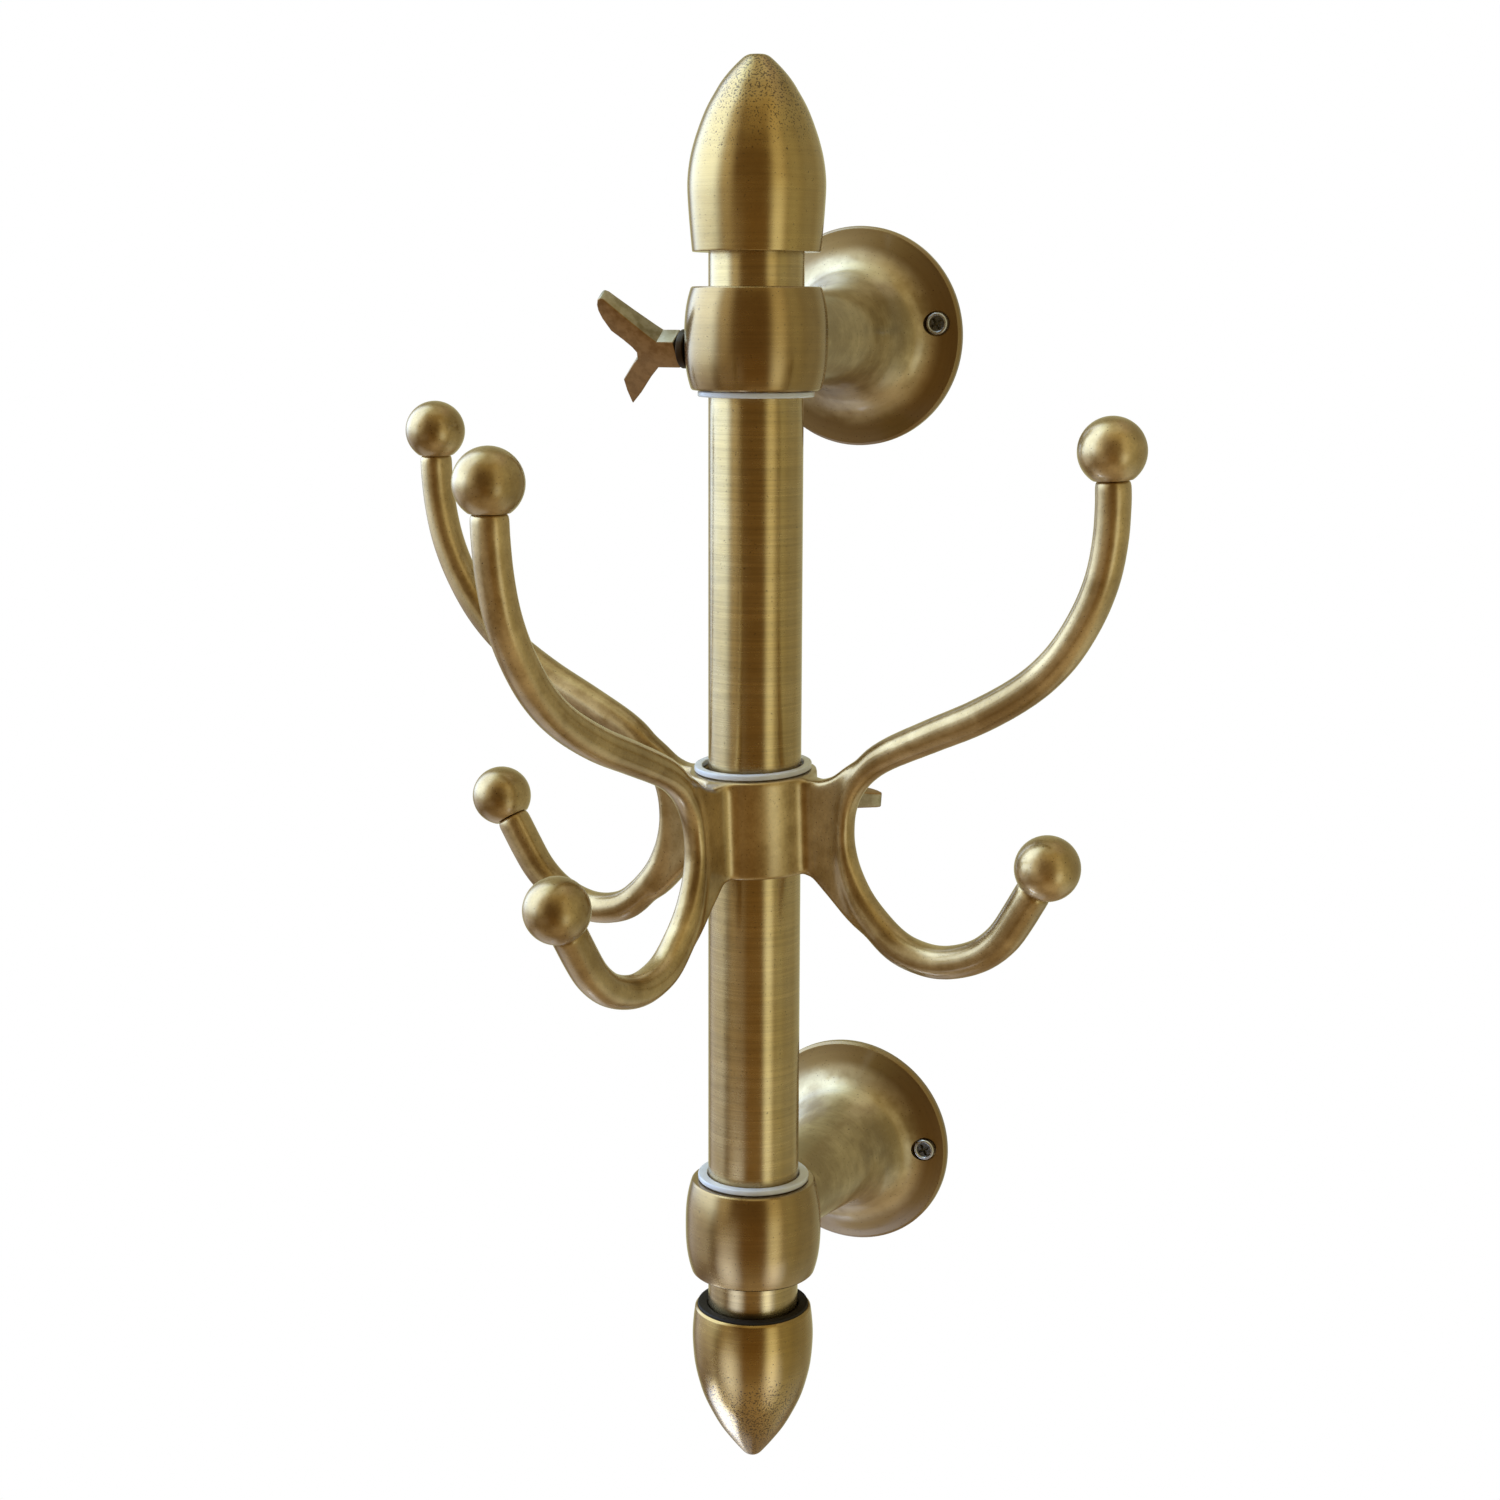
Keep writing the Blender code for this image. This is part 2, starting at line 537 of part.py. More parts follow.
def make_arm(name):
    """A double arm: oval sections carried along the hook's line, with a tenon at each end."""
    form = bmesh.new()
    loops = []
    across = Vector((0, 1, 0))
    for middle, way, (width, depth) in arm_sections():
        inward = way.cross(across)
        loop = []
        for k in range(ARM_SIDES):
            angle = math.tau * k / ARM_SIDES
            offset = inward * (math.cos(angle) * width / 2) + across * (math.sin(angle) * depth / 2)
            loop.append(form.verts.new(middle + offset))
        loops.append(loop)
    for first, second in zip(loops[:-1], loops[1:]):
        for k in range(ARM_SIDES):
            after = (k + 1) % ARM_SIDES
            form.faces.new((first[k], first[after], second[after], second[k]))
    form.faces.new(loops[0])
    form.faces.new(loops[-1])
    bmesh.ops.recalc_face_normals(form, faces=form.faces)
    mesh = bpy.data.meshes.new(name)
    form.to_mesh(mesh)
    form.free()
    mesh.shade_smooth()
    return bpy.data.objects.new(name, mesh)


def make_web(name):
    """The flat web between the ring and the back of a double arm."""
    root = RING_RADIUS - WEB_ROOT
    half = RING_HEIGHT / 2 - WEB_INSET
    edge = [upper_point(*shares) for shares in WEB_UPPER_SHARES]
    edge += [lower_point(*shares) for shares in WEB_LOWER_SHARES]
    outline = [(root, half)] + [(point.x, point.z) for point in edge] + [(root, -half)]
    return sheet(name, outline, WEB_THICKNESS)


def make_casting(casting_frame, screw_axis):
    """The ring with its three webs and double arms, one casting, with a hole for its wing screw."""
    half = RING_HEIGHT / 2
    ring = hoop("hook_casting", RING_BORE, RING_RADIUS, -half, half, RING_STEPS)
    casting = piece(ring, CAST_BRASS, casting_frame)
    parts = []
    for side, angle in HOOK_ANGLES.items():
        for made in (make_web(side + "_web"), make_arm(side + "_arm")):
            parts.append(tool(made, casting_frame, (0, 0, 0), (0, 0, angle)))
    shape(casting, "UNION", parts)
    hole = rod("casting_screw_hole", STUD_RADIUS + GAP, RING_BORE - OVERRUN, RING_RADIUS + OVERRUN, STUD_STEPS)
    return shape(casting, "DIFFERENCE", [tool(hole, screw_axis)])


def make_ball(name, frame, lower):
    """A ball end with a flat at its neck and a socket for the arm's tenon."""
    middle, _, tilt = ball_place(lower)
    last = math.pi - math.asin(BALL_NECK_RADIUS / BALL_RADIUS)
    arc = [(BALL_RADIUS * math.sin(last * k / BALL_ARCS), BALL_RADIUS * math.cos(last * k / BALL_ARCS))
           for k in range(BALL_ARCS + 1)]
    socket = TENON_RADIUS + GAP
    floor = TENON_LENGTH + GAP - BALL_FLAT
    profile = arc + [(socket, -BALL_FLAT), (socket, floor), (0, floor)]
    return piece(turned(name, profile, BALL_STEPS), CAST_BRASS, frame, middle, (0, tilt, 0))


def make_wing_screw(place, axis, seat_radius, wing_turn):
    """A threaded stud that presses on the post, and its wing head outside the ring or collar."""
    base = seat_radius + GAP
    stud_end = base + HUB_BASE_LENGTH + STUD_GRIP
    tip = POST_RADIUS + GAP
    piece(rod(place + "_screw_stud", STUD_RADIUS, tip, stud_end, STUD_STEPS), STEEL, axis)
    hub = [(0, base + HUB_LENGTH), (HUB_RADIUS, base + HUB_LENGTH), (HUB_RADIUS, base + HUB_BASE_LENGTH),
           (HUB_BASE_RADIUS, base + HUB_BASE_LENGTH), (HUB_BASE_RADIUS, base), (0, base)]
    head = piece(turned(place + "_wing_head", hub, STUD_STEPS), WING_BRONZE, axis, (0, 0, 0), (0, 0, wing_turn))
    side = [(WING_HALF_SPAN * out, base + WING_REACH * along) for along, out in WING_SHARES]
    outline = side + [(-out, along) for out, along in reversed(side)]
    wings = tool(sheet(place + "_wings", outline, WING_THICKNESS), head)
    bore = rod(place + "_stud_bore", STUD_RADIUS + GAP, base - OVERRUN, stud_end + GAP, STUD_STEPS)
    shape(head, "UNION", [wings])
    return shape(head, "DIFFERENCE", [tool(bore, axis)])


def build_rack():
    """Every piece, each under the empty of the axis that it turns or slides on."""
    upper_wall = guide("upper_wall_place")
    lower_wall = guide("lower_wall_place", None, (0, 0, -BRACKET_SPAN))
    post_axis = guide("post_axis", None, (0, -STANDOFF, 0))
    lower_axis = guide("lower_collar_axis", post_axis, (0, 0, -BRACKET_SPAN))
    bracket_screw = guide("bracket_screw_axis", post_axis, (0, 0, -BRACKET_SCREW_DROP), TO_LEFT)
    lean = guide("casting_lean", post_axis, (0, 0, -RING_DROP), (LEAN_FORWARD, LEAN_SIDEWAYS, 0))
    casting_frame = guide("casting_axis", lean, (0, 0, 0), (0, 0, CASTING_TURN))
    hook_screw = guide("hook_screw_axis", casting_frame, (0, 0, 0), TO_WALL)
    make_bracket("upper", upper_wall, post_axis, UPPER_SCREWS_TURN, bracket_screw)
    make_bracket("lower", lower_wall, lower_axis, LOWER_SCREWS_TURN)
    make_post(post_axis)
    make_washers(post_axis, casting_frame)
    make_casting(casting_frame, hook_screw)
    for side, angle in HOOK_ANGLES.items():
        frame = guide(side + "_hook_plane", casting_frame, (0, 0, 0), (0, 0, angle))
        make_ball(side + "_upper_ball", frame, lower=False)
        make_ball(side + "_lower_ball", frame, lower=True)
    make_wing_screw("bracket", bracket_screw, COLLAR_BELLY_RADIUS, BRACKET_WING_TURN)
    make_wing_screw("hook", hook_screw, RING_RADIUS, HOOK_WING_TURN)


build_rack()
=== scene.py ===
"""Wall coat rack in aged brass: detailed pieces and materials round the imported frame.

Metres, in the frame's own axes: +Z up, +Y into the wall, the room at -Y. Each turned piece is drawn
in its own frame, whose Z is the axis that it was turned about.
"""

import math

import bmesh
import bpy
from mathutils import Euler, Matrix, Vector


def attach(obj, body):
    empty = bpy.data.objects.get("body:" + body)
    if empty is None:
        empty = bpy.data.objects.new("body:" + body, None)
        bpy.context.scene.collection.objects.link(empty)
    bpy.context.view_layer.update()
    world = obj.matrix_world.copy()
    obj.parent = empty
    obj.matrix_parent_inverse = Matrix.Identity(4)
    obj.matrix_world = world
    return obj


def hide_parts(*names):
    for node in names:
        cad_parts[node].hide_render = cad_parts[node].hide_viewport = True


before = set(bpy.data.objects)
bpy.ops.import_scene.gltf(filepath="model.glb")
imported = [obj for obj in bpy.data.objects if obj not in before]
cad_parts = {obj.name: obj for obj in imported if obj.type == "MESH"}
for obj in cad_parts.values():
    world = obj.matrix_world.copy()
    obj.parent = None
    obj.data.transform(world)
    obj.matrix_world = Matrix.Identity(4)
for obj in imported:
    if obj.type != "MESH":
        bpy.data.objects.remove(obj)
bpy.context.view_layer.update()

MM = 0.001

# Camera, in pixels of the 1500 x 1500 photograph and metres
PHOTO_SIDE = 1500
FOCAL_PIXELS = 2415.3
SENSOR_WIDTH = 36
CAMERA_DISTANCE = 0.8177
CAMERA_HEIGHT = 0.00842
CAMERA_AZIMUTH = math.radians(23.05)
CAMERA_PAN = math.radians(0.116)
CAMERA_TILT = math.radians(10.258)
CAMERA_ROLL = math.radians(0.18)
CAMERA_NEAR = 0.01

# Sizes of the rack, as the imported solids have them
GAP = 0.3 * MM
STANDOFF = 98.5 * MM
BRACKET_SPAN = 311 * MM
POST_RADIUS = 16 * MM
POST_WALL = 2 * MM
COLLAR_HEIGHT = 34 * MM
COLLAR_RIM_RADIUS = 21.9 * MM
COLLAR_BELLY_RADIUS = 24.05 * MM
COLLAR_BORE = 16.5 * MM
BARREL_POWER = 2.6
FLANGE_RADIUS = 40 * MM
FLANGE_RIM = 3 * MM
FLANGE_RIM_STEP = 0.2 * MM
BELL_DEPTH = 29 * MM
NECK_RADIUS = 12.8 * MM
NECK_FOOT_RADIUS = 18.3 * MM
NECK_OVERLAP = 7 * MM
NECK_FACE = STANDOFF - COLLAR_BELLY_RADIUS + NECK_OVERLAP
POCKET_RADIUS = 25.5 * MM
POCKET_DEPTH = 4.5 * MM
HEART_RADIUS = 14.5 * MM
HEART_DEPTH = 19 * MM
BOSS_RADIUS = 11 * MM
WALL_SCREW_PLACE = 32 * MM
UPPER_SCREWS_TURN = math.radians(8.7)
LOWER_SCREWS_TURN = math.radians(2.8)
WALL_HEAD_RADIUS = 4 * MM
WALL_HEAD_HEIGHT = 2.7 * MM
WALL_SHANK_RADIUS = 2 * MM
WALL_SHANK_DEPTH = 10 * MM
WALL_POINT_DEPTH = 14 * MM
WALL_SEAT = 3.2 * MM
WALL_SINK_RADIUS = 4.6 * MM
RECESS_SIZE = (4.4 * MM, 0.95 * MM, 3 * MM)
RECESS_TURN = math.radians(25)
# Radius of the painted shade in a wall screw's dished crown
DISH_SHADE_RADIUS = 2.9 * MM
WASHER_RADIUS = 19.6 * MM
WASHER_THICKNESS = 1.9 * MM
RING_WASHER_RADIUS = 20.2 * MM
UPPER_FINIAL_HEIGHT = 63.3 * MM
UPPER_FINIAL_RADIUS = 22.95 * MM
UPPER_REVEAL = 11.3 * MM
LOWER_FINIAL_HEIGHT = 58.5 * MM
LOWER_FINIAL_RADIUS = 21.6 * MM
LOWER_REVEAL = 12 * MM
SOCKET_DEPTH = 14 * MM
MOUTH_WALL = 0.6 * MM
MOUTH_DEPTH = 6 * MM
MOUTH_RIM = 0.9 * MM
SEAL_TOP = 0.2 * MM
SEAL_DISH = 0.4 * MM
SEAL_ROOM = 0.05 * MM
RING_DROP = 163 * MM
RING_HEIGHT = 34 * MM
RING_BORE = 17.2 * MM
RING_RADIUS = 22 * MM
LEAN_FORWARD = math.radians(2.8)
LEAN_SIDEWAYS = math.radians(-0.8)
CASTING_TURN = math.radians(-10)
HOOK_ANGLES = {"right": 0.0, "front": math.radians(-90), "left": math.radians(180)}
HOOK_REACH = 134.3 * MM
HOOK_RISE = 129.8 * MM
LOWER_REACH = 112.1 * MM
LOWER_HOOK_DEPTH = 41.7 * MM
ARM_THICKNESS = 11.7 * MM
WEB_THICKNESS = 7 * MM
WEB_OVERLAP = 2.5 * MM
WEB_MARGIN = 0.4 * MM
WEB_EDGE = 1.2 * MM
ROOT_RADIUS = 5.5 * MM
ROOT_OVERLAP = 1 * MM
ROOT_MARGIN = 0.8 * MM
BALL_RADIUS = 10.75 * MM
BALL_NECK_RADIUS = 6.25 * MM
LOWER_BALL_DROP = 4.5 * MM
UPPER_BALL_TILT = math.radians(-2)
LOWER_BALL_TILT = math.radians(30.5)
BRACKET_SCREW_DROP = 3.6 * MM
BRACKET_WING_TURN = math.radians(-36)
HOOK_WING_TURN = math.radians(6)
HUB_RADIUS = 4.1 * MM
HUB_BASE_RADIUS = 6.6 * MM
HUB_BASE_LENGTH = 2.6 * MM
HUB_LENGTH = 17 * MM
WING_REACH = 29 * MM
WING_HALF_SPAN = 22.5 * MM
WING_ROOT_THICKNESS = 8.4 * MM
WING_TIP_THICKNESS = 5.2 * MM
STUD_RADIUS = 3 * MM
STUD_GRIP = 9 * MM

# Outlines, as shares of the sizes above
BARREL_DIVISIONS = 32
BARREL_SHARES = [1 - 2 * k / BARREL_DIVISIONS for k in range(BARREL_DIVISIONS + 1)]
NECK_SHARES = ((0.0, 1.0), (0.33, 0.59), (0.655, 0.286), (0.855, 0.114))
BELL_FACE_SHARES = (
    (0.0, 1.0), (0.05, 0.75), (0.134, 0.5), (0.244, 0.315), (0.364, 0.204), (0.493, 0.131), (0.631, 0.081),
    (0.816, 0.035), (1.0, 0.0))
UPPER_FINIAL_SHARES = (
    (1.0, 0.12), (0.985, 0.2), (0.93, 0.36), (0.87, 0.5), (0.81, 0.605), (0.74, 0.715), (0.66, 0.81),
    (0.56, 0.905), (0.46, 0.97), (0.35, 1.0), (0.22, 0.985), (0.1, 0.958), (0.0, 0.932))
LOWER_FINIAL_SHARES = (
    (1.0, 0.11), (0.98, 0.17), (0.9, 0.345), (0.8, 0.54), (0.7, 0.69), (0.6, 0.815), (0.5, 0.9),
    (0.4, 0.96), (0.3, 0.99), (0.2, 1.0), (0.1, 0.982), (0.0, 0.945))
UPPER_ARM_SHARES = (
    (1.004, 0.886, 0.92, 1.0), (0.996, 0.793, 0.92, 1.0), (0.971, 0.693, 0.92, 1.0),
    (0.92, 0.593, 0.93, 1.0), (0.842, 0.494, 0.94, 0.99), (0.738, 0.412, 0.95, 0.98),
    (0.588, 0.334, 0.97, 0.97), (0.427, 0.27, 0.94, 0.95), (0.287, 0.213, 0.88, 0.9),
    (0.216, 0.171, 0.79, 0.84), (0.166, 0.117, 0.63, 0.77), (0.139, 0.058, 0.5, 0.71),
    (0.13, 0.004, 0.46, 0.68))
LOWER_ARM_SHARES = (
    (0.162, -0.168, 0.5, 0.71), (0.182, -0.395, 0.68, 0.77), (0.239, -0.647, 0.86, 0.86),
    (0.358, -0.9, 0.93, 0.94), (0.47, -0.993, 0.93, 0.97), (0.585, -0.999, 0.94, 0.97),
    (0.72, -0.9, 0.95, 0.97), (0.819, -0.728, 0.98, 0.98), (0.887, -0.517, 1.0, 1.0))
WEB_TOP_SHARES = ((0.02, 0.121), (0.058, 0.126), (0.098, 0.14), (0.143, 0.169), (0.214, 0.208))
WEB_BACK_SHARES = ((0.3, 0.216), (0.216, 0.171), (0.166, 0.117), (0.139, 0.058), (0.13, 0.004))
WEB_LOWER_BACK_SHARES = ((0.162, -0.168), (0.182, -0.395), (0.239, -0.647), (0.361, -0.903))
WEB_BOTTOM_SHARES = ((0.28, -0.903), (0.188, -0.781), (0.088, -0.573), (0.024, -0.442))
WING_ROUND_SHARES = (
    (0.12, 0.235), (0.335, 0.235), (0.41, 0.33), (0.62, 0.62), (0.8, 0.88), (0.86, 0.97), (0.91, 1.0),
    (0.945, 0.97), (0.97, 0.88), (0.973, 0.78), (0.95, 0.645), (0.88, 0.43), (0.75, 0.265), (0.665, 0.14),
    (0.625, 0.05))
WING_POINT_SHARES = (
    (0.12, 0.235), (0.41, 0.235), (0.551, 0.424), (0.756, 0.742), (0.925, 0.968), (0.935, 0.7),
    (0.925, 0.48), (0.82, 0.32), (0.726, 0.17), (0.64, 0.06))

# Crown of a wall screw's head: radius, and depth below the top
HEAD_CROWN = ((0, 0.4 * MM), (2.8 * MM, 0.4 * MM), (3.1 * MM, 0), (WALL_HEAD_RADIUS - 0.3 * MM, 0.05 * MM),
              (WALL_HEAD_RADIUS, 0.5 * MM))

# Finish of the pieces that show
STEPS = 128
SMALL_STEPS = 64
BALL_ARCS = 36
ARM_SIDES = 40
ARM_DIVISIONS = 8
BELL_DIVISIONS = 6
FINIAL_DIVISIONS = 5
WEB_DIVISIONS = 5
ROOT_ARCS = 8
SOFT_EDGE = 0.5 * MM
FINE_EDGE = 0.25 * MM
HEAD_EDGE = 0.1 * MM
EDGE_SEGMENTS = 3
CORNER_ANGLE = math.radians(20)
CORNER_ARC = 4
CORNER_LIMIT = 0.45
SHARP_ANGLE = math.radians(38)
EDGE_ANGLE = math.radians(55)
MERGE = 0.001 * MM
OVERRUN = 4 * MM
CAST_GRAIN = 0.7 * MM
CAST_EASING = 40
CAST_EASING_STEP = 0.5
CAST_RIM_EASING = 0.35
CAST_RIM_BAND = 1.5 * MM
CAST_RIM_ROOM = 1 * MM
FLANGE_CHAMFER = 0.9 * MM
CAST_ALLOWANCE = 0.5 * MM

# Name of the places that each piece's mesh keeps in its own frame
OWN_PLACE = "own_place"

TO_WALL = (-math.pi / 2, 0, 0)
TO_ROOM = (math.pi / 2, 0, 0)
TO_LEFT = (0, -math.pi / 2, 0)


def frame_at(place=(0, 0, 0), turn=(0, 0, 0), base=None):
    """A frame from its place and turn, in a base frame."""
    own = Matrix.Translation(place) @ Euler(turn).to_matrix().to_4x4()
    return base @ own if base else own


UPPER_WALL = frame_at()
LOWER_WALL = frame_at((0, 0, -BRACKET_SPAN))
POST = frame_at((0, -STANDOFF, 0))
LOWER_POST = frame_at((0, 0, -BRACKET_SPAN), base=POST)
LEAN = frame_at((0, 0, -RING_DROP), (LEAN_FORWARD, LEAN_SIDEWAYS, 0), POST)
CASTING = frame_at((0, 0, 0), (0, 0, CASTING_TURN), LEAN)
BRACKET_SCREW = frame_at((0, 0, -BRACKET_SCREW_DROP), TO_LEFT, POST)
HOOK_SCREW = frame_at((0, 0, 0), TO_WALL, CASTING)
UPPER_MOUTH = frame_at((0, 0, COLLAR_HEIGHT / 2 + UPPER_REVEAL), base=POST)
LOWER_MOUTH = frame_at((0, 0, -BRACKET_SPAN - COLLAR_HEIGHT / 2 - LOWER_REVEAL), (math.pi, 0, 0), POST)


# Camera

def make_camera():
    """The photograph's view: from the right of the middle, at the upper collar's height, looking down."""
    place = Vector((math.sin(CAMERA_AZIMUTH), -math.cos(CAMERA_AZIMUTH), 0)) * CAMERA_DISTANCE
    place += Vector((0, -STANDOFF, CAMERA_HEIGHT))
    facing = CAMERA_AZIMUTH + CAMERA_PAN
    ahead = Vector((-math.sin(facing) * math.cos(CAMERA_TILT), math.cos(facing) * math.cos(CAMERA_TILT),
                    -math.sin(CAMERA_TILT)))
    right = Vector((math.cos(facing), math.sin(facing), 0))
    up = right.cross(ahead)
    rolled_right = right * math.cos(CAMERA_ROLL) + up * math.sin(CAMERA_ROLL)
    rolled_up = up * math.cos(CAMERA_ROLL) - right * math.sin(CAMERA_ROLL)
    lens = bpy.data.cameras.new("camera")
    lens.sensor_width = SENSOR_WIDTH
    lens.lens = FOCAL_PIXELS * SENSOR_WIDTH / PHOTO_SIDE
    lens.clip_start = CAMERA_NEAR
    camera = bpy.data.objects.new("camera", lens)
    camera.matrix_world = Matrix((rolled_right, rolled_up, -ahead)).transposed().to_4x4()
    camera.matrix_world.translation = place
    bpy.context.scene.collection.objects.link(camera)
    bpy.context.scene.camera = camera
    return camera


# Shader nodes

def feed(tree, node, inputs):
    """Give a node's inputs their values, or link them to sockets."""
    for name, value in inputs.items():
        if isinstance(value, bpy.types.NodeSocket):
            tree.links.new(value, node.inputs[name])
        else:
            node.inputs[name].default_value = value


def add(tree, kind, inputs=None, **settings):
    """A shader node with its settings, and its inputs as values or as links from sockets."""
    made = tree.nodes.new("ShaderNode" + kind)
    for name, value in settings.items():
        setattr(made, name, value)
    feed(tree, made, inputs or {})
    return made


def maths(tree, operation, first, second=0.0, third=0.0, clamp=False):
    """The result of one sum on numbers or sockets."""
    inputs = {0: first, 1: second, 2: third}
    return add(tree, "Math", inputs, operation=operation, use_clamp=clamp).outputs[0]


def ramp(tree, value, low, high, start=0.0, end=1.0):
    """A smooth step from start to end while the value goes from low to high."""
    inputs = {"Value": value, "From Min": low, "From Max": high, "To Min": start, "To Max": end}
    return add(tree, "MapRange", inputs, interpolation_type="SMOOTHSTEP").outputs[0]


def blend(tree, share, first, second):
    """A colour between two colours."""
    return add(tree, "Mix", {0: share, 6: first, 7: second}, data_type="RGBA").outputs[2]


def noise(tree, coordinates, scale, detail=2.0, roughness=0.5):
    """A noise pattern's value."""
    inputs = {"Vector": coordinates, "Scale": scale, "Detail": detail, "Roughness": roughness}
    return add(tree, "TexNoise", inputs).outputs[0]


def rgb(red, green, blue):
    """A colour with full alpha."""
    return (red, green, blue, 1.0)


def start_material(name):
    """A material: its node tree, its Principled shader and the places in the piece's own frame."""
    made = bpy.data.materials.new(name)
    made.use_nodes = True
    tree = made.node_tree
    own = add(tree, "Attribute", attribute_name=OWN_PLACE)
    return made, tree, tree.nodes["Principled BSDF"], own.outputs["Vector"]


def axis_distance(tree, place):
    """Distance from a turned piece's Z axis."""
    x, y, _ = add(tree, "SeparateXYZ", {0: place}).outputs
    flat = add(tree, "CombineXYZ", {0: x, 1: y})
    return add(tree, "VectorMath", {0: flat.outputs[0]}, operation="LENGTH").outputs["Value"]


def lathe_lines(tree, place, fineness):
    """Noise that runs round a turned piece's Z axis in fine lines."""
    x, y, z = add(tree, "SeparateXYZ", {0: place}).outputs
    along = maths(tree, "MULTIPLY_ADD", axis_distance(tree, place), LINE_SLANT, z)
    wide = {0: maths(tree, "MULTIPLY", x, LINE_STRETCH), 1: maths(tree, "MULTIPLY", y, LINE_STRETCH),
            2: maths(tree, "MULTIPLY", along, fineness)}
    return noise(tree, add(tree, "CombineXYZ", wide).outputs[0], 1.0)


# Brass. A noise is given as its scale per metre, its detail and its roughness.
CLOUDS = (26, 3.0, 0.55)
MOTTLE = (150, 3.0, 0.6)
MOTTLE_SHARE = 0.45
PATINA_RANGE = (0.55, 0.92)
# Painted shade: colour of the darker ring towards a flange's rim, where its face looks towards the dark
# camera side
RIM_SHADE = rgb(0.24, 0.155, 0.055)
LINE_SLANT = 0.6
LINE_STRETCH = 28
FINE_LINES = 2600
WIDE_LINES = 700
CAST_LINES = (900, 2.0, 0.7)
LINE_RANGE = (0.3, 0.7)
LINE_RELIEF = 0.6
PITS = (1600, 1.0)
PIT_LIMIT = 0.7
PIT_GAIN = 16.0
PIT_SHARE = 0.75
PIT_COLOUR = rgb(0.035, 0.018, 0.006)
GRIT = (60, 2.0)
GRIT_LIMIT = 0.52
GRIT_DRIFT = 0.8
MOTTLE_ROUGHNESS = 0.12
BRUSH_TURN = 0.25
LACQUER_IOR = 1.5
BRASS_BUMP = {"Strength": 0.25, "Distance": 0.05 * MM}

# Bronze
BRONZE_MOTTLE = (300, 4.0, 0.65)
BRONZE_RANGE = (0.35, 0.65)
BRONZE_FACE = (rgb(0.26, 0.155, 0.065), rgb(0.38, 0.24, 0.11))
# Painted reflection: the pale grey tones of the edges stand in for the window's light on them
BRONZE_EDGE_REFLECTION = (rgb(0.32, 0.28, 0.19), rgb(0.46, 0.42, 0.32))
BRONZE_ROUGHNESS = (0.38, 0.55)
BRONZE_BUMP = {"Strength": 0.4, "Distance": 0.1 * MM}
FACE_DEPTH = (0.6 * MM, 0.2 * MM)
# Painted shade at the head's base, where it sits on the collar or the ring: its reach above the base disc,
# its share and its colour
BASE_SHADE_REACH = (0.2 * MM, 1.6 * MM)
BASE_SHADE_SHARE = 0.92
BASE_SHADE = rgb(0.02, 0.014, 0.01)

# Other materials. Each look has its noise, two tones, two roughnesses and the shader's constants.
STEEL_LOOK = ((1500, 2.0), (rgb(0.4, 0.4, 0.38), rgb(0.62, 0.62, 0.6)), (0.25, 0.4), {"Metallic": 1.0})
PLASTIC_LOOK = ((200, 3.0), (rgb(0.72, 0.76, 0.84), rgb(0.88, 0.91, 0.95)), (0.16, 0.26),
                {"Transmission Weight": 0.25, "IOR": 1.45})
RUBBER_LOOK = ((900, 2.0), (rgb(0.008, 0.006, 0.005), rgb(0.02, 0.016, 0.012)), (0.55, 0.7),
               {"Specular IOR Level": 0.2})
# Painted shade in a screw head's dished crown: its soft edge inside and outside, its share and its colour
DISH_SHADE_EDGE = (0.2 * MM, 0.1 * MM)
DISH_SHADE_SHARE = 0.75
DISH_SHADE = rgb(0.04, 0.045, 0.04)


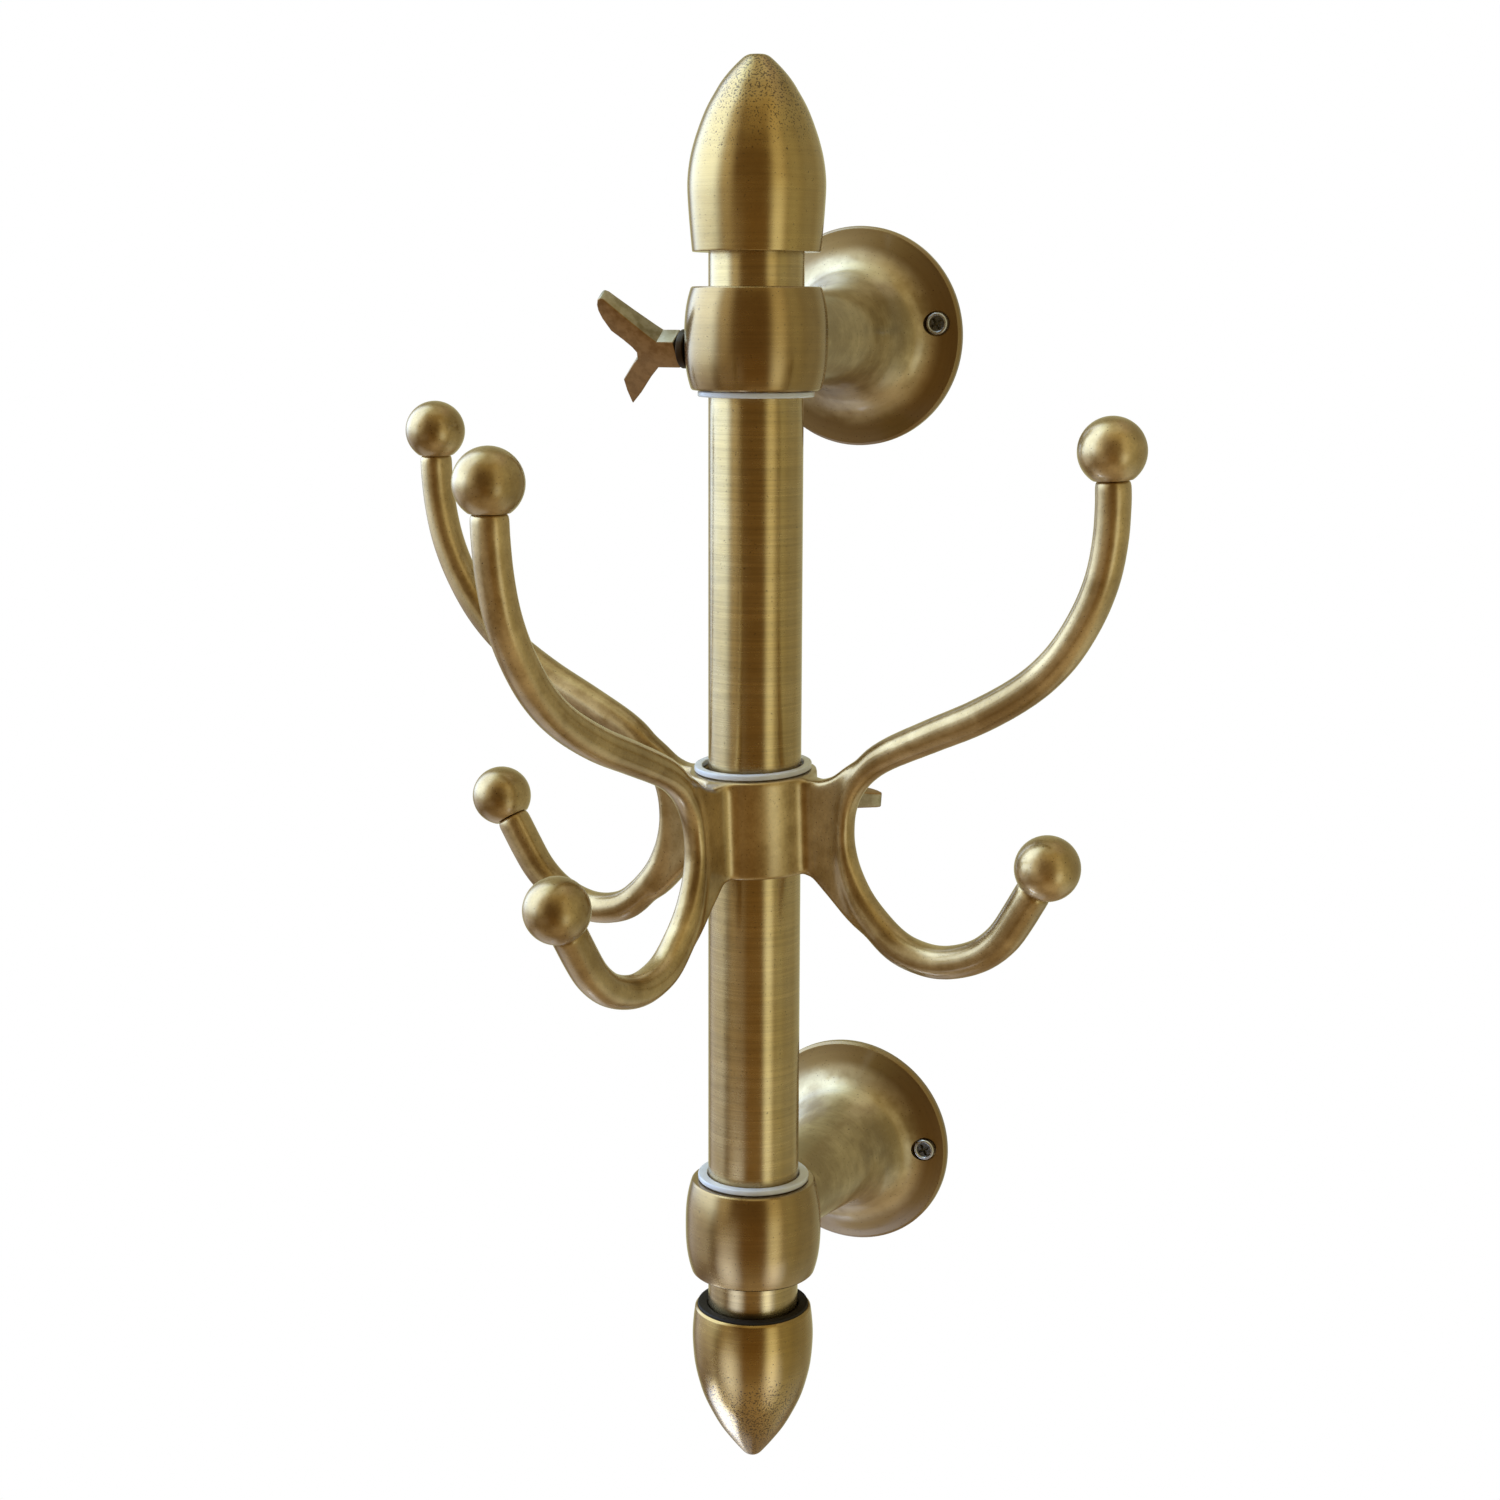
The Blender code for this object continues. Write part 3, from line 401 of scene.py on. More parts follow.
def brass(name, light, dark, turned=True, grit=None, roughness=0.16, spread=0.08, lines_depth=0.07,
          brushed=0.0, coat=(0.6, 0.16), rim=None):
    """Aged brass under lacquer: cloudy patina, fine lines and pits, more pits between two heights, and
    painted shade towards a rim.
    """
    made, tree, shader, place = start_material(name)
    mottle = noise(tree, place, *MOTTLE)
    worn = maths(tree, "MULTIPLY_ADD", mottle, MOTTLE_SHARE, noise(tree, place, *CLOUDS))
    colour = blend(tree, ramp(tree, worn, *PATINA_RANGE), dark, light)
    # Painted shade: darker towards the rim between the two radii
    if rim:
        colour = blend(tree, ramp(tree, axis_distance(tree, place), *rim), colour, RIM_SHADE)
    if turned:
        fine = maths(tree, "MULTIPLY", lathe_lines(tree, place, FINE_LINES), 0.5)
        lines = maths(tree, "MULTIPLY_ADD", lathe_lines(tree, place, WIDE_LINES), 0.5, fine)
    else:
        lines = noise(tree, place, *CAST_LINES)
    streak = ramp(tree, lines, *LINE_RANGE, 1 - lines_depth, 1 + lines_depth)
    streaked = add(tree, "VectorMath", {0: colour, 1: streak}, operation="MULTIPLY").outputs[0]
    limit = PIT_LIMIT
    if grit:
        low, high = grit
        drift = (high - low) * GRIT_DRIFT
        height = add(tree, "SeparateXYZ", {0: place}).outputs[2]
        level = maths(tree, "MULTIPLY_ADD", noise(tree, place, *GRIT), drift,
                      maths(tree, "SUBTRACT", height, drift / 2))
        limit = ramp(tree, level, low, high, PIT_LIMIT, GRIT_LIMIT)
    over = maths(tree, "SUBTRACT", noise(tree, place, *PITS), limit)
    pit = maths(tree, "MULTIPLY", over, PIT_GAIN, clamp=True)
    pitted = blend(tree, maths(tree, "MULTIPLY", pit, PIT_SHARE), streaked, PIT_COLOUR)
    uneven = maths(tree, "MULTIPLY_ADD", mottle, MOTTLE_ROUGHNESS, roughness)
    relief = maths(tree, "MULTIPLY_ADD", lines, LINE_RELIEF, maths(tree, "MULTIPLY", pit, -1.0))
    bump = add(tree, "Bump", {"Height": relief, **BRASS_BUMP})
    feed(tree, shader, {
        "Base Color": pitted, "Metallic": 1.0, "Anisotropic": brushed, "Anisotropic Rotation": BRUSH_TURN,
        "Roughness": maths(tree, "MULTIPLY_ADD", lines, spread, uneven), "Coat Weight": coat[0],
        "Coat Roughness": coat[1], "Coat IOR": LACQUER_IOR, "Normal": bump.outputs[0]})
    return made


def bronze(name, base):
    """Dull dark bronze: darker faces, edges painted pale as a painted reflection, and painted shade near its
    base.
    """
    made, tree, shader, place = start_material(name)
    out, across, along = add(tree, "SeparateXYZ", {0: place}).outputs
    slope = (WING_ROOT_THICKNESS - WING_TIP_THICKNESS) / 2 / WING_HALF_SPAN
    thinned = maths(tree, "MULTIPLY", maths(tree, "ABSOLUTE", out), slope)
    depth = maths(tree, "ADD", thinned, maths(tree, "ABSOLUTE", across))
    facing = ramp(tree, depth, *(WING_ROOT_THICKNESS / 2 - below for below in FACE_DEPTH))
    mottle = noise(tree, place, *BRONZE_MOTTLE)
    tone = ramp(tree, mottle, *BRONZE_RANGE)
    # Faces in their own tones, edges in the painted reflection's tones
    worn = blend(tree, facing, blend(tree, tone, *BRONZE_EDGE_REFLECTION), blend(tree, tone, *BRONZE_FACE))
    # Painted shade, darkest at the base disc and fading out above it
    base_shade = ramp(tree, along, *(base + HUB_BASE_LENGTH + reach for reach in BASE_SHADE_REACH), BASE_SHADE_SHARE, 0.0)
    bump = add(tree, "Bump", {"Height": mottle, **BRONZE_BUMP})
    feed(tree, shader, {
        "Base Color": blend(tree, base_shade, worn, BASE_SHADE), "Metallic": 1.0,
        "Roughness": ramp(tree, mottle, *LINE_RANGE, *BRONZE_ROUGHNESS), "Normal": bump.outputs[0]})
    return made


def grained(name, grain, tones, roughness, constants, dish=0.0):
    """A material with one grain in its colour and roughness, and painted shade inside a radius of its axis.
    """
    made, tree, shader, place = start_material(name)
    share = noise(tree, place, *grain)
    colour = blend(tree, share, *tones)
    if dish:
        # Painted shade inside the dish's radius
        inner, outer = DISH_SHADE_EDGE
        dish_shade = ramp(tree, axis_distance(tree, place), dish - inner, dish + outer, DISH_SHADE_SHARE, 0.0)
        colour = blend(tree, dish_shade, colour, DISH_SHADE)
    feed(tree, shader, {
        "Base Color": colour, "Roughness": ramp(tree, share, *LINE_RANGE, *roughness), **constants})
    return made


BRUSHED = 0.7
POST_BRASS = brass("post_brass", rgb(0.45, 0.336, 0.163), rgb(0.407, 0.291, 0.121), lines_depth=0.13,
                   brushed=BRUSHED)
COLLAR_BRASS = brass("collar_brass", rgb(0.33, 0.22, 0.085), rgb(0.28, 0.18, 0.065), brushed=BRUSHED)
# The flange's outer ring gets painted shade between these radii
FLANGE_BRASS = brass("flange_brass", rgb(0.52, 0.415, 0.235), rgb(0.275, 0.195, 0.085), roughness=0.32,
                     spread=0.05, coat=(0.9, 0.12), rim=(29 * MM, 34 * MM))
UPPER_FINIAL_BRASS = brass("upper_finial_brass", rgb(0.43, 0.305, 0.119), rgb(0.377, 0.255, 0.091),
                           grit=(0.35 * UPPER_FINIAL_HEIGHT, 0.95 * UPPER_FINIAL_HEIGHT), brushed=BRUSHED)
LOWER_FINIAL_BRASS = brass("lower_finial_brass", rgb(0.38, 0.25, 0.08), rgb(0.325, 0.205, 0.058),
                           grit=(0.25 * LOWER_FINIAL_HEIGHT, 0.6 * LOWER_FINIAL_HEIGHT), brushed=BRUSHED)
CAST_BRASS = brass("cast_brass", rgb(0.51, 0.375, 0.18), rgb(0.302, 0.2, 0.073), turned=False,
                   roughness=0.25, coat=(0.8, 0.16))
BRACKET_WING_BRONZE = bronze("bracket_wing_bronze", COLLAR_BELLY_RADIUS)
HOOK_WING_BRONZE = bronze("hook_wing_bronze", RING_RADIUS)
STEEL = grained("screw_steel", *STEEL_LOOK)
# The screw heads get painted shade in their dished crowns
HEAD_STEEL = grained("head_steel", *STEEL_LOOK, DISH_SHADE_RADIUS)
PLASTIC = grained("washer_plastic", *PLASTIC_LOOK)
RUBBER = grained("seal_rubber", *RUBBER_LOOK)


# Mesh helpers

def smooth(rows, divisions):
    """Rows of values on a smooth curve (Catmull-Rom) through the given rows."""
    result = []
    for i, start in enumerate(rows[:-1]):
        before = rows[max(i - 1, 0)]
        end = rows[i + 1]
        after = rows[min(i + 2, len(rows) - 1)]
        for k in range(divisions):
            t = k / divisions
            result.append(tuple(
                b + (c - a) * t / 2 + (2 * a - 5 * b + 4 * c - d) * t ** 2 / 2
                + (3 * b - a - 3 * c + d) * t ** 3 / 2
                for a, b, c, d in zip(before, start, end, after)))
    result.append(tuple(rows[-1]))
    return result


def softened(outline, radius, closed=False):
    """The outline with its corners rounded off."""
    points = [Vector(point) for point in outline]
    count = len(points)
    result = []
    for i, point in enumerate(points):
        if not closed and i in (0, count - 1):
            result.append(point)
            continue
        before = points[i - 1] - point
        after = points[(i + 1) % count] - point
        bend = math.pi - before.angle(after)
        if bend < CORNER_ANGLE:
            result.append(point)
            continue
        cut = min(radius * math.tan(bend / 2), before.length * CORNER_LIMIT, after.length * CORNER_LIMIT)
        start = point + before.normalized() * cut
        end = point + after.normalized() * cut
        for k in range(CORNER_ARC + 1):
            t = k / CORNER_ARC
            result.append(start * (1 - t) ** 2 + point * (2 * t * (1 - t)) + end * t ** 2)
    return [tuple(point) for point in result]


def to_object(form, name, place):
    """An object in the scene from a bmesh, smooth with its sharp edges kept."""
    bmesh.ops.recalc_face_normals(form, faces=form.faces)
    mesh = bpy.data.meshes.new(name)
    form.to_mesh(mesh)
    form.free()
    mesh.shade_smooth()
    mesh.set_sharp_from_angle(angle=SHARP_ANGLE)
    made = bpy.data.objects.new(name, mesh)
    made.matrix_world = place
    bpy.context.scene.collection.objects.link(made)
    return made


def lathe(name, outline, steps, place, closed=False):
    """A shape turned about its own Z from an outline of (radius, height) points."""
    form = bmesh.new()
    loops = []
    for radius, height in outline:
        if radius < MERGE:
            loops.append([form.verts.new((0, 0, height))])
            continue
        angles = [math.tau * k / steps for k in range(steps)]
        loops.append([form.verts.new((radius * math.cos(angle), radius * math.sin(angle), height))
                      for angle in angles])
    pairs = list(zip(loops, loops[1:]))
    if closed:
        pairs.append((loops[-1], loops[0]))
    for first, second in pairs:
        for k in range(steps):
            after = (k + 1) % steps
            corners = [first[k % len(first)], first[after % len(first)], second[after % len(second)],
                       second[k % len(second)]]
            face = list(dict.fromkeys(corners))
            if len(face) > 2:
                form.faces.new(face)
    return to_object(form, name, place)


def slab(name, outline, thickness, place, edge=0.0):
    """A flat outline (across, up) of one thickness, upright in its own XZ plane, with rounded edges."""
    form = bmesh.new()
    front = [form.verts.new((across, -thickness / 2, up)) for across, up in outline]
    back = [form.verts.new((across, thickness / 2, up)) for across, up in outline]
    form.faces.new(front)
    form.faces.new(back)
    for i in range(len(outline)):
        after = (i + 1) % len(outline)
        form.faces.new((front[i], front[after], back[after], back[i]))
    made = to_object(form, name, place)
    if edge:
        ease_edges(made, edge)
    return made


def ease_edges(obj, width):
    """Round the sharp edges of a slab."""
    bevel = obj.modifiers.new("edge", "BEVEL")
    bevel.width = width
    bevel.segments = EDGE_SEGMENTS
    bevel.limit_method = "ANGLE"
    bevel.angle_limit = EDGE_ANGLE
    return bake(obj)


def taper(obj, share, reach):
    """Thin an upright slab evenly from its middle to a share of its thickness at the reach."""
    form = bmesh.new()
    form.from_mesh(obj.data)
    bmesh.ops.bisect_plane(form, geom=form.verts[:] + form.edges[:] + form.faces[:], plane_co=(0, 0, 0),
                           plane_no=(1, 0, 0), dist=MERGE)
    for vertex in form.verts:
        vertex.co.y *= 1 - (1 - share) * abs(vertex.co.x) / reach
    form.to_mesh(obj.data)
    form.free()


def bake(obj):
    """Apply an object's modifiers to its mesh."""
    bpy.context.view_layer.update()
    evaluated = obj.evaluated_get(bpy.context.evaluated_depsgraph_get())
    mesh = bpy.data.meshes.new_from_object(evaluated)
    obj.modifiers.clear()
    obj.data = mesh
    mesh.shade_smooth()
    mesh.set_sharp_from_angle(angle=SHARP_ANGLE)
    return obj


def combine(obj, how, tools):
    """Cut other shapes out of an object, or join them to it, and remove them."""
    for other in tools:
        step = obj.modifiers.new(how, "BOOLEAN")
        step.operation = how
        step.object = other
        step.solver = "EXACT"
    bake(obj)
    for other in tools:
        bpy.data.objects.remove(other)
    return obj


def finish(obj, look, body, slot, *nodes):
    """Give a piece its material and body, and let it stand for its nodes of the frame; the slot is not used.
    """
    own = obj.data.attributes.new(OWN_PLACE, "FLOAT_VECTOR", "POINT")
    own.data.foreach_set("vector", [value for vertex in obj.data.vertices for value in vertex.co])
    obj.data.transform(obj.matrix_world)
    obj.matrix_world = Matrix()
    obj.data.materials.clear()
    obj.data.materials.append(look)
    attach(obj, body)
    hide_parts(*nodes)
    return obj


# Pieces

def barrel(spread=0.0):
    """Outer side of a collar, top to bottom, grown by a spread."""
    swell = COLLAR_BELLY_RADIUS - COLLAR_RIM_RADIUS
    half = COLLAR_HEIGHT / 2 - SOFT_EDGE
    return [(COLLAR_BELLY_RADIUS + spread - swell * abs(share) ** BARREL_POWER, half * share)
            for share in BARREL_SHARES]


def make_collar(level, place):
    """A barrel-shaped collar with eased rims."""
    half = COLLAR_HEIGHT / 2
    edge = COLLAR_RIM_RADIUS - SOFT_EDGE
    outline = [(edge, half)] + barrel() + [(edge, -half), (COLLAR_BORE, -half), (COLLAR_BORE, half)]
    name = level + "_collar"
    collar = lathe(name + "_turned", softened(outline, FINE_EDGE, closed=True), STEPS, place, closed=True)
    return finish(collar, COLLAR_BRASS, "brackets", "brushed_brass", name)


def make_bell(level, wall, post, turn):
    """A wall flange with its neck, its end shaped to the collar and its screws' sinks cut in."""
    face = [(NECK_FOOT_RADIUS + (FLANGE_RADIUS - NECK_FOOT_RADIUS) * out,
             FLANGE_RIM + (BELL_DEPTH - FLANGE_RIM) * up) for out, up in BELL_FACE_SHARES[:-1]]
    face.append((FLANGE_RADIUS - FLANGE_CHAMFER, FLANGE_RIM + FLANGE_RIM_STEP))
    neck = [(NECK_RADIUS + (NECK_FOOT_RADIUS - NECK_RADIUS) * out,
             BELL_DEPTH + (NECK_FACE - BELL_DEPTH) * up) for out, up in NECK_SHARES]
    side = smooth(neck + face, BELL_DIVISIONS)
    back = [(FLANGE_RADIUS, FLANGE_RIM - FLANGE_CHAMFER), (FLANGE_RADIUS, 0), (POCKET_RADIUS, 0),
            (POCKET_RADIUS, POCKET_DEPTH), (HEART_RADIUS, HEART_DEPTH), (BOSS_RADIUS, HEART_DEPTH),
            (BOSS_RADIUS, 0), (0, 0)]
    outline = softened([(0, NECK_FACE)] + side + back, FINE_EDGE)
    name = level + "_wall_flange"
    bell = lathe(name + "_turned", outline, STEPS, wall @ frame_at(turn=TO_ROOM))
    half = COLLAR_HEIGHT / 2
    bed = lathe("bed", [(0, half)] + barrel(GAP) + [(0, -half)], STEPS, post)
    sink = [(0, BELL_DEPTH), (WALL_SINK_RADIUS, BELL_DEPTH), (WALL_SINK_RADIUS, WALL_SEAT), (0, WALL_SEAT)]
    tools = [bed]
    screws = wall @ frame_at(turn=(0, -turn, 0))
    for across in (-WALL_SCREW_PLACE, WALL_SCREW_PLACE):
        tools.append(lathe("sink", sink, SMALL_STEPS, screws @ frame_at((across, 0, 0), TO_ROOM)))
    combine(bell, "DIFFERENCE", tools)
    return finish(bell, FLANGE_BRASS, "brackets", "brushed_brass", name)


def make_washer(name, place, inner, outer, bottom, body):
    """A plastic washer with eased rims."""
    top = bottom + WASHER_THICKNESS
    outline = [(outer, top), (outer, bottom), (inner, bottom), (inner, top)]
    washer = lathe(name + "_turned", softened(outline, SOFT_EDGE, closed=True), STEPS, place, closed=True)
    return finish(washer, PLASTIC, body, "washer_plastic", name)


def make_finial(name, place, height, radius, shares, look, mouth=0.0, rim=0.0):
    """A turned finial, its own Z from the mouth to the tip."""
    side = smooth([(radius * out, height * up) for up, out in shares], FINIAL_DIVISIONS)
    side = [point for point in side if point[1] >= rim]
    socket = POST_RADIUS + GAP
    inside = [(mouth, rim), (mouth, MOUTH_DEPTH), (socket, MOUTH_DEPTH)] if mouth else [(socket, 0)]
    outline = [(0, height)] + side + inside + [(socket, SOCKET_DEPTH), (0, SOCKET_DEPTH)]
    finial = lathe(name + "_turned", softened(outline, SOFT_EDGE), STEPS, place)
    return finish(finial, look, "post", "brushed_brass", name)


def make_post():
    """The tube, both finials and the seal in the lower one's mouth."""
    top = COLLAR_HEIGHT / 2 + UPPER_REVEAL + SOCKET_DEPTH
    bottom = -BRACKET_SPAN - COLLAR_HEIGHT / 2 - LOWER_REVEAL - SOCKET_DEPTH
    inner = POST_RADIUS - POST_WALL
    outline = [(POST_RADIUS, top), (POST_RADIUS, bottom), (inner, bottom), (inner, top)]
    tube = lathe("post_tube_drawn", softened(outline, SOFT_EDGE, closed=True), STEPS, POST, closed=True)
    finish(tube, POST_BRASS, "post", "brushed_brass", "post_tube")
    make_finial("upper_finial", UPPER_MOUTH, UPPER_FINIAL_HEIGHT, UPPER_FINIAL_RADIUS, UPPER_FINIAL_SHARES,
                UPPER_FINIAL_BRASS)
    mouth = LOWER_FINIAL_RADIUS * LOWER_FINIAL_SHARES[-1][1] - MOUTH_WALL
    make_finial("lower_finial", LOWER_MOUTH, LOWER_FINIAL_HEIGHT, LOWER_FINIAL_RADIUS, LOWER_FINIAL_SHARES,
                LOWER_FINIAL_BRASS, mouth, MOUTH_RIM)
    outer = mouth - SEAL_ROOM
    inner = POST_RADIUS + GAP
    outline = [(outer, SEAL_TOP), (outer, MOUTH_DEPTH - GAP), (inner, MOUTH_DEPTH - GAP),
               (inner, SEAL_TOP + SEAL_DISH)]
    seal = lathe("mouth_seal_moulded", softened(outline, SOFT_EDGE, closed=True), STEPS, LOWER_MOUTH,
                 closed=True)
    finish(seal, RUBBER, "post", "seal_rubber", "mouth_seal")


def upper_point(out, up):
    """A point of a hook's plane by its shares of the upper arm's reach and rise."""
    return RING_RADIUS + (HOOK_REACH - RING_RADIUS) * out, HOOK_RISE * up


def lower_point(out, up):
    """A point of a hook's plane by its shares of the lower arm's reach and depth."""
    return RING_RADIUS + (LOWER_REACH - RING_RADIUS) * out, LOWER_HOOK_DEPTH * up


def ball_place(lower):
    """Middle of a ball in its hook's plane, and its tilt."""
    if lower:
        return Vector((LOWER_REACH, 0, -LOWER_BALL_DROP)), LOWER_BALL_TILT
    return Vector((HOOK_REACH, 0, HOOK_RISE)), UPPER_BALL_TILT


def make_arm(place):
    """A double arm: oval sections carried along the hook's line from ball to ball."""
    stations = []
    for point, shares in ((upper_point, UPPER_ARM_SHARES), (lower_point, LOWER_ARM_SHARES)):
        for out, up, *ovals in shares:
            x, z = point(out, up)
            stations.append((x, 0, z, *(ARM_THICKNESS * oval + CAST_ALLOWANCE for oval in ovals)))
    rows = smooth(stations, ARM_DIVISIONS)
    flat = math.sqrt(BALL_RADIUS ** 2 - BALL_NECK_RADIUS ** 2)
    ends = []
    for lower in (False, True):
        middle, tilt = ball_place(lower)
        way = Vector((math.sin(tilt), 0, math.cos(tilt)))
        ends.append((middle - way * (flat - CAST_ALLOWANCE / 2), way))
    middles = [ends[0][0]] + [Vector(row[:3]) for row in rows] + [ends[1][0]]
    sizes = [rows[0][3:]] + [row[3:] for row in rows] + [rows[-1][3:]]
    ways = [(after - before).normalized() for before, after in zip(middles[:-2], middles[2:])]
    ways = [-ends[0][1]] + ways + [ends[1][1]]
    form = bmesh.new()
    across = Vector((0, 1, 0))
    angles = [math.tau * k / ARM_SIDES for k in range(ARM_SIDES)]
    loops = []
    for middle, way, (width, depth) in zip(middles, ways, sizes):
        inward = way.cross(across)
        loops.append([form.verts.new(middle + inward * (math.cos(angle) * width / 2)
                                     + across * (math.sin(angle) * depth / 2)) for angle in angles])
    for first, second in zip(loops[:-1], loops[1:]):
        for k in range(ARM_SIDES):
            after = (k + 1) % ARM_SIDES
            form.faces.new((first[k], first[after], second[after], second[k]))
    form.faces.new(loops[0])
    form.faces.new(loops[-1])
    return to_object(form, "arm", place)


def make_web(place):
    """The flat web between the ring and the back of a double arm, with rounded edges."""
    root = RING_RADIUS - WEB_OVERLAP
    half = RING_HEIGHT / 2 - WEB_MARGIN
    top = smooth([upper_point(*shares) for shares in WEB_TOP_SHARES], WEB_DIVISIONS)
    back = [upper_point(*shares) for shares in WEB_BACK_SHARES]
    back += [lower_point(*shares) for shares in WEB_LOWER_BACK_SHARES]
    bottom = smooth([lower_point(*shares) for shares in WEB_BOTTOM_SHARES], WEB_DIVISIONS)
    outline = [(root, half)] + top + back + bottom + [(root, -half)]
    return slab("web", outline, WEB_THICKNESS, place, WEB_EDGE)


def make_root(place):
    """The rounded root of a web, where it runs out into the ring on both sides."""
    side = WEB_THICKNESS / 2
    middle = side + ROOT_RADIUS
    out = math.sqrt((RING_RADIUS + ROOT_RADIUS) ** 2 - middle ** 2)
    start = -math.pi / 2
    end = math.atan2(middle, out) - math.pi
    arc = []
    for k in range(ROOT_ARCS + 1):
        angle = start + (end - start) * k / ROOT_ARCS
        arc.append((out + ROOT_RADIUS * math.cos(angle), middle + ROOT_RADIUS * math.sin(angle)))
    outline = [(RING_BORE + ROOT_OVERLAP, side)] + arc[::-1]
    outline += [(x, -y) for x, y in reversed(outline)]
    return slab("root", outline, RING_HEIGHT - 2 * ROOT_MARGIN, place @ frame_at(turn=TO_ROOM))


def soften_cast(casting):
    """Rebuild the casting's skin evenly and smooth it, so that its corners run into each other."""
    skin = casting.modifiers.new("skin", "REMESH")
    skin.mode = "VOXEL"
    skin.voxel_size = CAST_GRAIN
    skin.use_smooth_shade = True
    bake(casting)
    free = casting.vertex_groups.new(name="free")
    for vertex in casting.data.vertices:
        x, y, z = vertex.co
        at_ring = math.hypot(x, y) < RING_RADIUS + CAST_RIM_ROOM
        at_rim = at_ring and abs(z) > RING_HEIGHT / 2 - CAST_RIM_BAND
        free.add([vertex.index], CAST_RIM_EASING if at_rim else 1.0, "REPLACE")
    ease = casting.modifiers.new("ease", "SMOOTH")
    ease.factor = CAST_EASING_STEP
    ease.iterations = CAST_EASING
    ease.vertex_group = "free"
    bake(casting)
    casting.vertex_groups.clear()
    casting.data.shade_smooth()


def make_casting():
    """The ring with its three webs and double arms in one piece, and the six ball ends."""
    half = RING_HEIGHT / 2
    ring = [(RING_RADIUS, half), (RING_RADIUS, -half), (RING_BORE, -half), (RING_BORE, half)]
    casting = lathe("hook_casting_cast", softened(ring, SOFT_EDGE, closed=True), STEPS, CASTING,
                    closed=True)
    parts = []
    for side, angle in HOOK_ANGLES.items():
        plane = CASTING @ frame_at(turn=(0, 0, angle))
        parts += [make_web(plane), make_root(plane), make_arm(plane)]
        for lower in (False, True):
            make_ball(side, plane, lower)
    hole = [(0, RING_HEIGHT), (RING_BORE, RING_HEIGHT), (RING_BORE, -RING_HEIGHT), (0, -RING_HEIGHT)]
    bore = lathe("bore", hole, STEPS, CASTING)
    combine(casting, "UNION", parts)
    combine(casting, "DIFFERENCE", [bore])
    soften_cast(casting)
    return finish(casting, CAST_BRASS, "hooks", "cast_brass", "hook_casting")


def make_ball(side, plane, lower):
    """A ball end with an eased rim at its neck."""
    middle, tilt = ball_place(lower)
    last = math.pi - math.asin(BALL_NECK_RADIUS / BALL_RADIUS)
    angles = [last * k / BALL_ARCS for k in range(BALL_ARCS + 1)]
    arc = [(BALL_RADIUS * math.sin(angle), BALL_RADIUS * math.cos(angle)) for angle in angles]
    outline = softened(arc + [(0, arc[-1][1])], FINE_EDGE)
    name = f"{side}_{'lower' if lower else 'upper'}_ball"
    ball = lathe(name + "_turned", outline, SMALL_STEPS, plane @ frame_at(middle, (0, tilt, 0)))
    return finish(ball, CAST_BRASS, "hooks", "cast_brass", name)


def make_wing_head(name, place, seat_radius, turn, material, body):
    """A wing head: a hub with a base disc and two flat wings with eased edges."""
    base = seat_radius + GAP
    hub = [(0, base + HUB_LENGTH), (HUB_RADIUS, base + HUB_LENGTH), (HUB_RADIUS, base + HUB_BASE_LENGTH),
           (HUB_BASE_RADIUS, base + HUB_BASE_LENGTH), (HUB_BASE_RADIUS, base), (0, base)]
    own = place @ frame_at(turn=(0, 0, turn))
    head = lathe(name + "_cast", softened(hub, SOFT_EDGE), SMALL_STEPS, own)
    outline = [(WING_HALF_SPAN * out, base + WING_REACH * along) for along, out in WING_ROUND_SHARES]
    outline += [(-WING_HALF_SPAN * out, base + WING_REACH * along)
                for along, out in reversed(WING_POINT_SHARES)]
    wings = slab("wings", outline, WING_ROOT_THICKNESS, own)
    taper(wings, WING_TIP_THICKNESS / WING_ROOT_THICKNESS, WING_HALF_SPAN)
    ease_edges(wings, SOFT_EDGE)
    top = base + HUB_BASE_LENGTH + STUD_GRIP + GAP
    side = STUD_RADIUS + GAP
    hole = [(0, top), (side, top), (side, base - OVERRUN), (0, base - OVERRUN)]
    bore = lathe("bore", hole, SMALL_STEPS, own)
    combine(head, "UNION", [wings])
    combine(head, "DIFFERENCE", [bore])
    return finish(head, material, body, "wing_bronze", name)


def make_wall_screw(name, wall, turn, across):
    """A pan-head wood screw with a cross recess in a dished crown."""
    under = WALL_SEAT + GAP
    crown = under + WALL_HEAD_HEIGHT
    outline = [(radius, crown - below) for radius, below in HEAD_CROWN]
    outline += [(WALL_HEAD_RADIUS, under), (WALL_SHANK_RADIUS, under),
                (WALL_SHANK_RADIUS, -WALL_SHANK_DEPTH), (0, -WALL_POINT_DEPTH)]
    place = wall @ frame_at(turn=(0, -turn, 0)) @ frame_at((across, 0, 0), TO_ROOM)
    screw = lathe(name + "_turned", softened(outline, HEAD_EDGE), SMALL_STEPS, place)
    bars = []
    for turned in (RECESS_TURN, RECESS_TURN + math.pi / 2):
        form = bmesh.new()
        bmesh.ops.create_cube(form, size=1)
        bmesh.ops.scale(form, vec=RECESS_SIZE, verts=form.verts)
        bars.append(to_object(form, "bar", place @ frame_at((0, 0, crown), (0, 0, turned))))
    combine(screw, "DIFFERENCE", bars)
    return finish(screw, HEAD_STEEL, "brackets", "screw_steel", name)


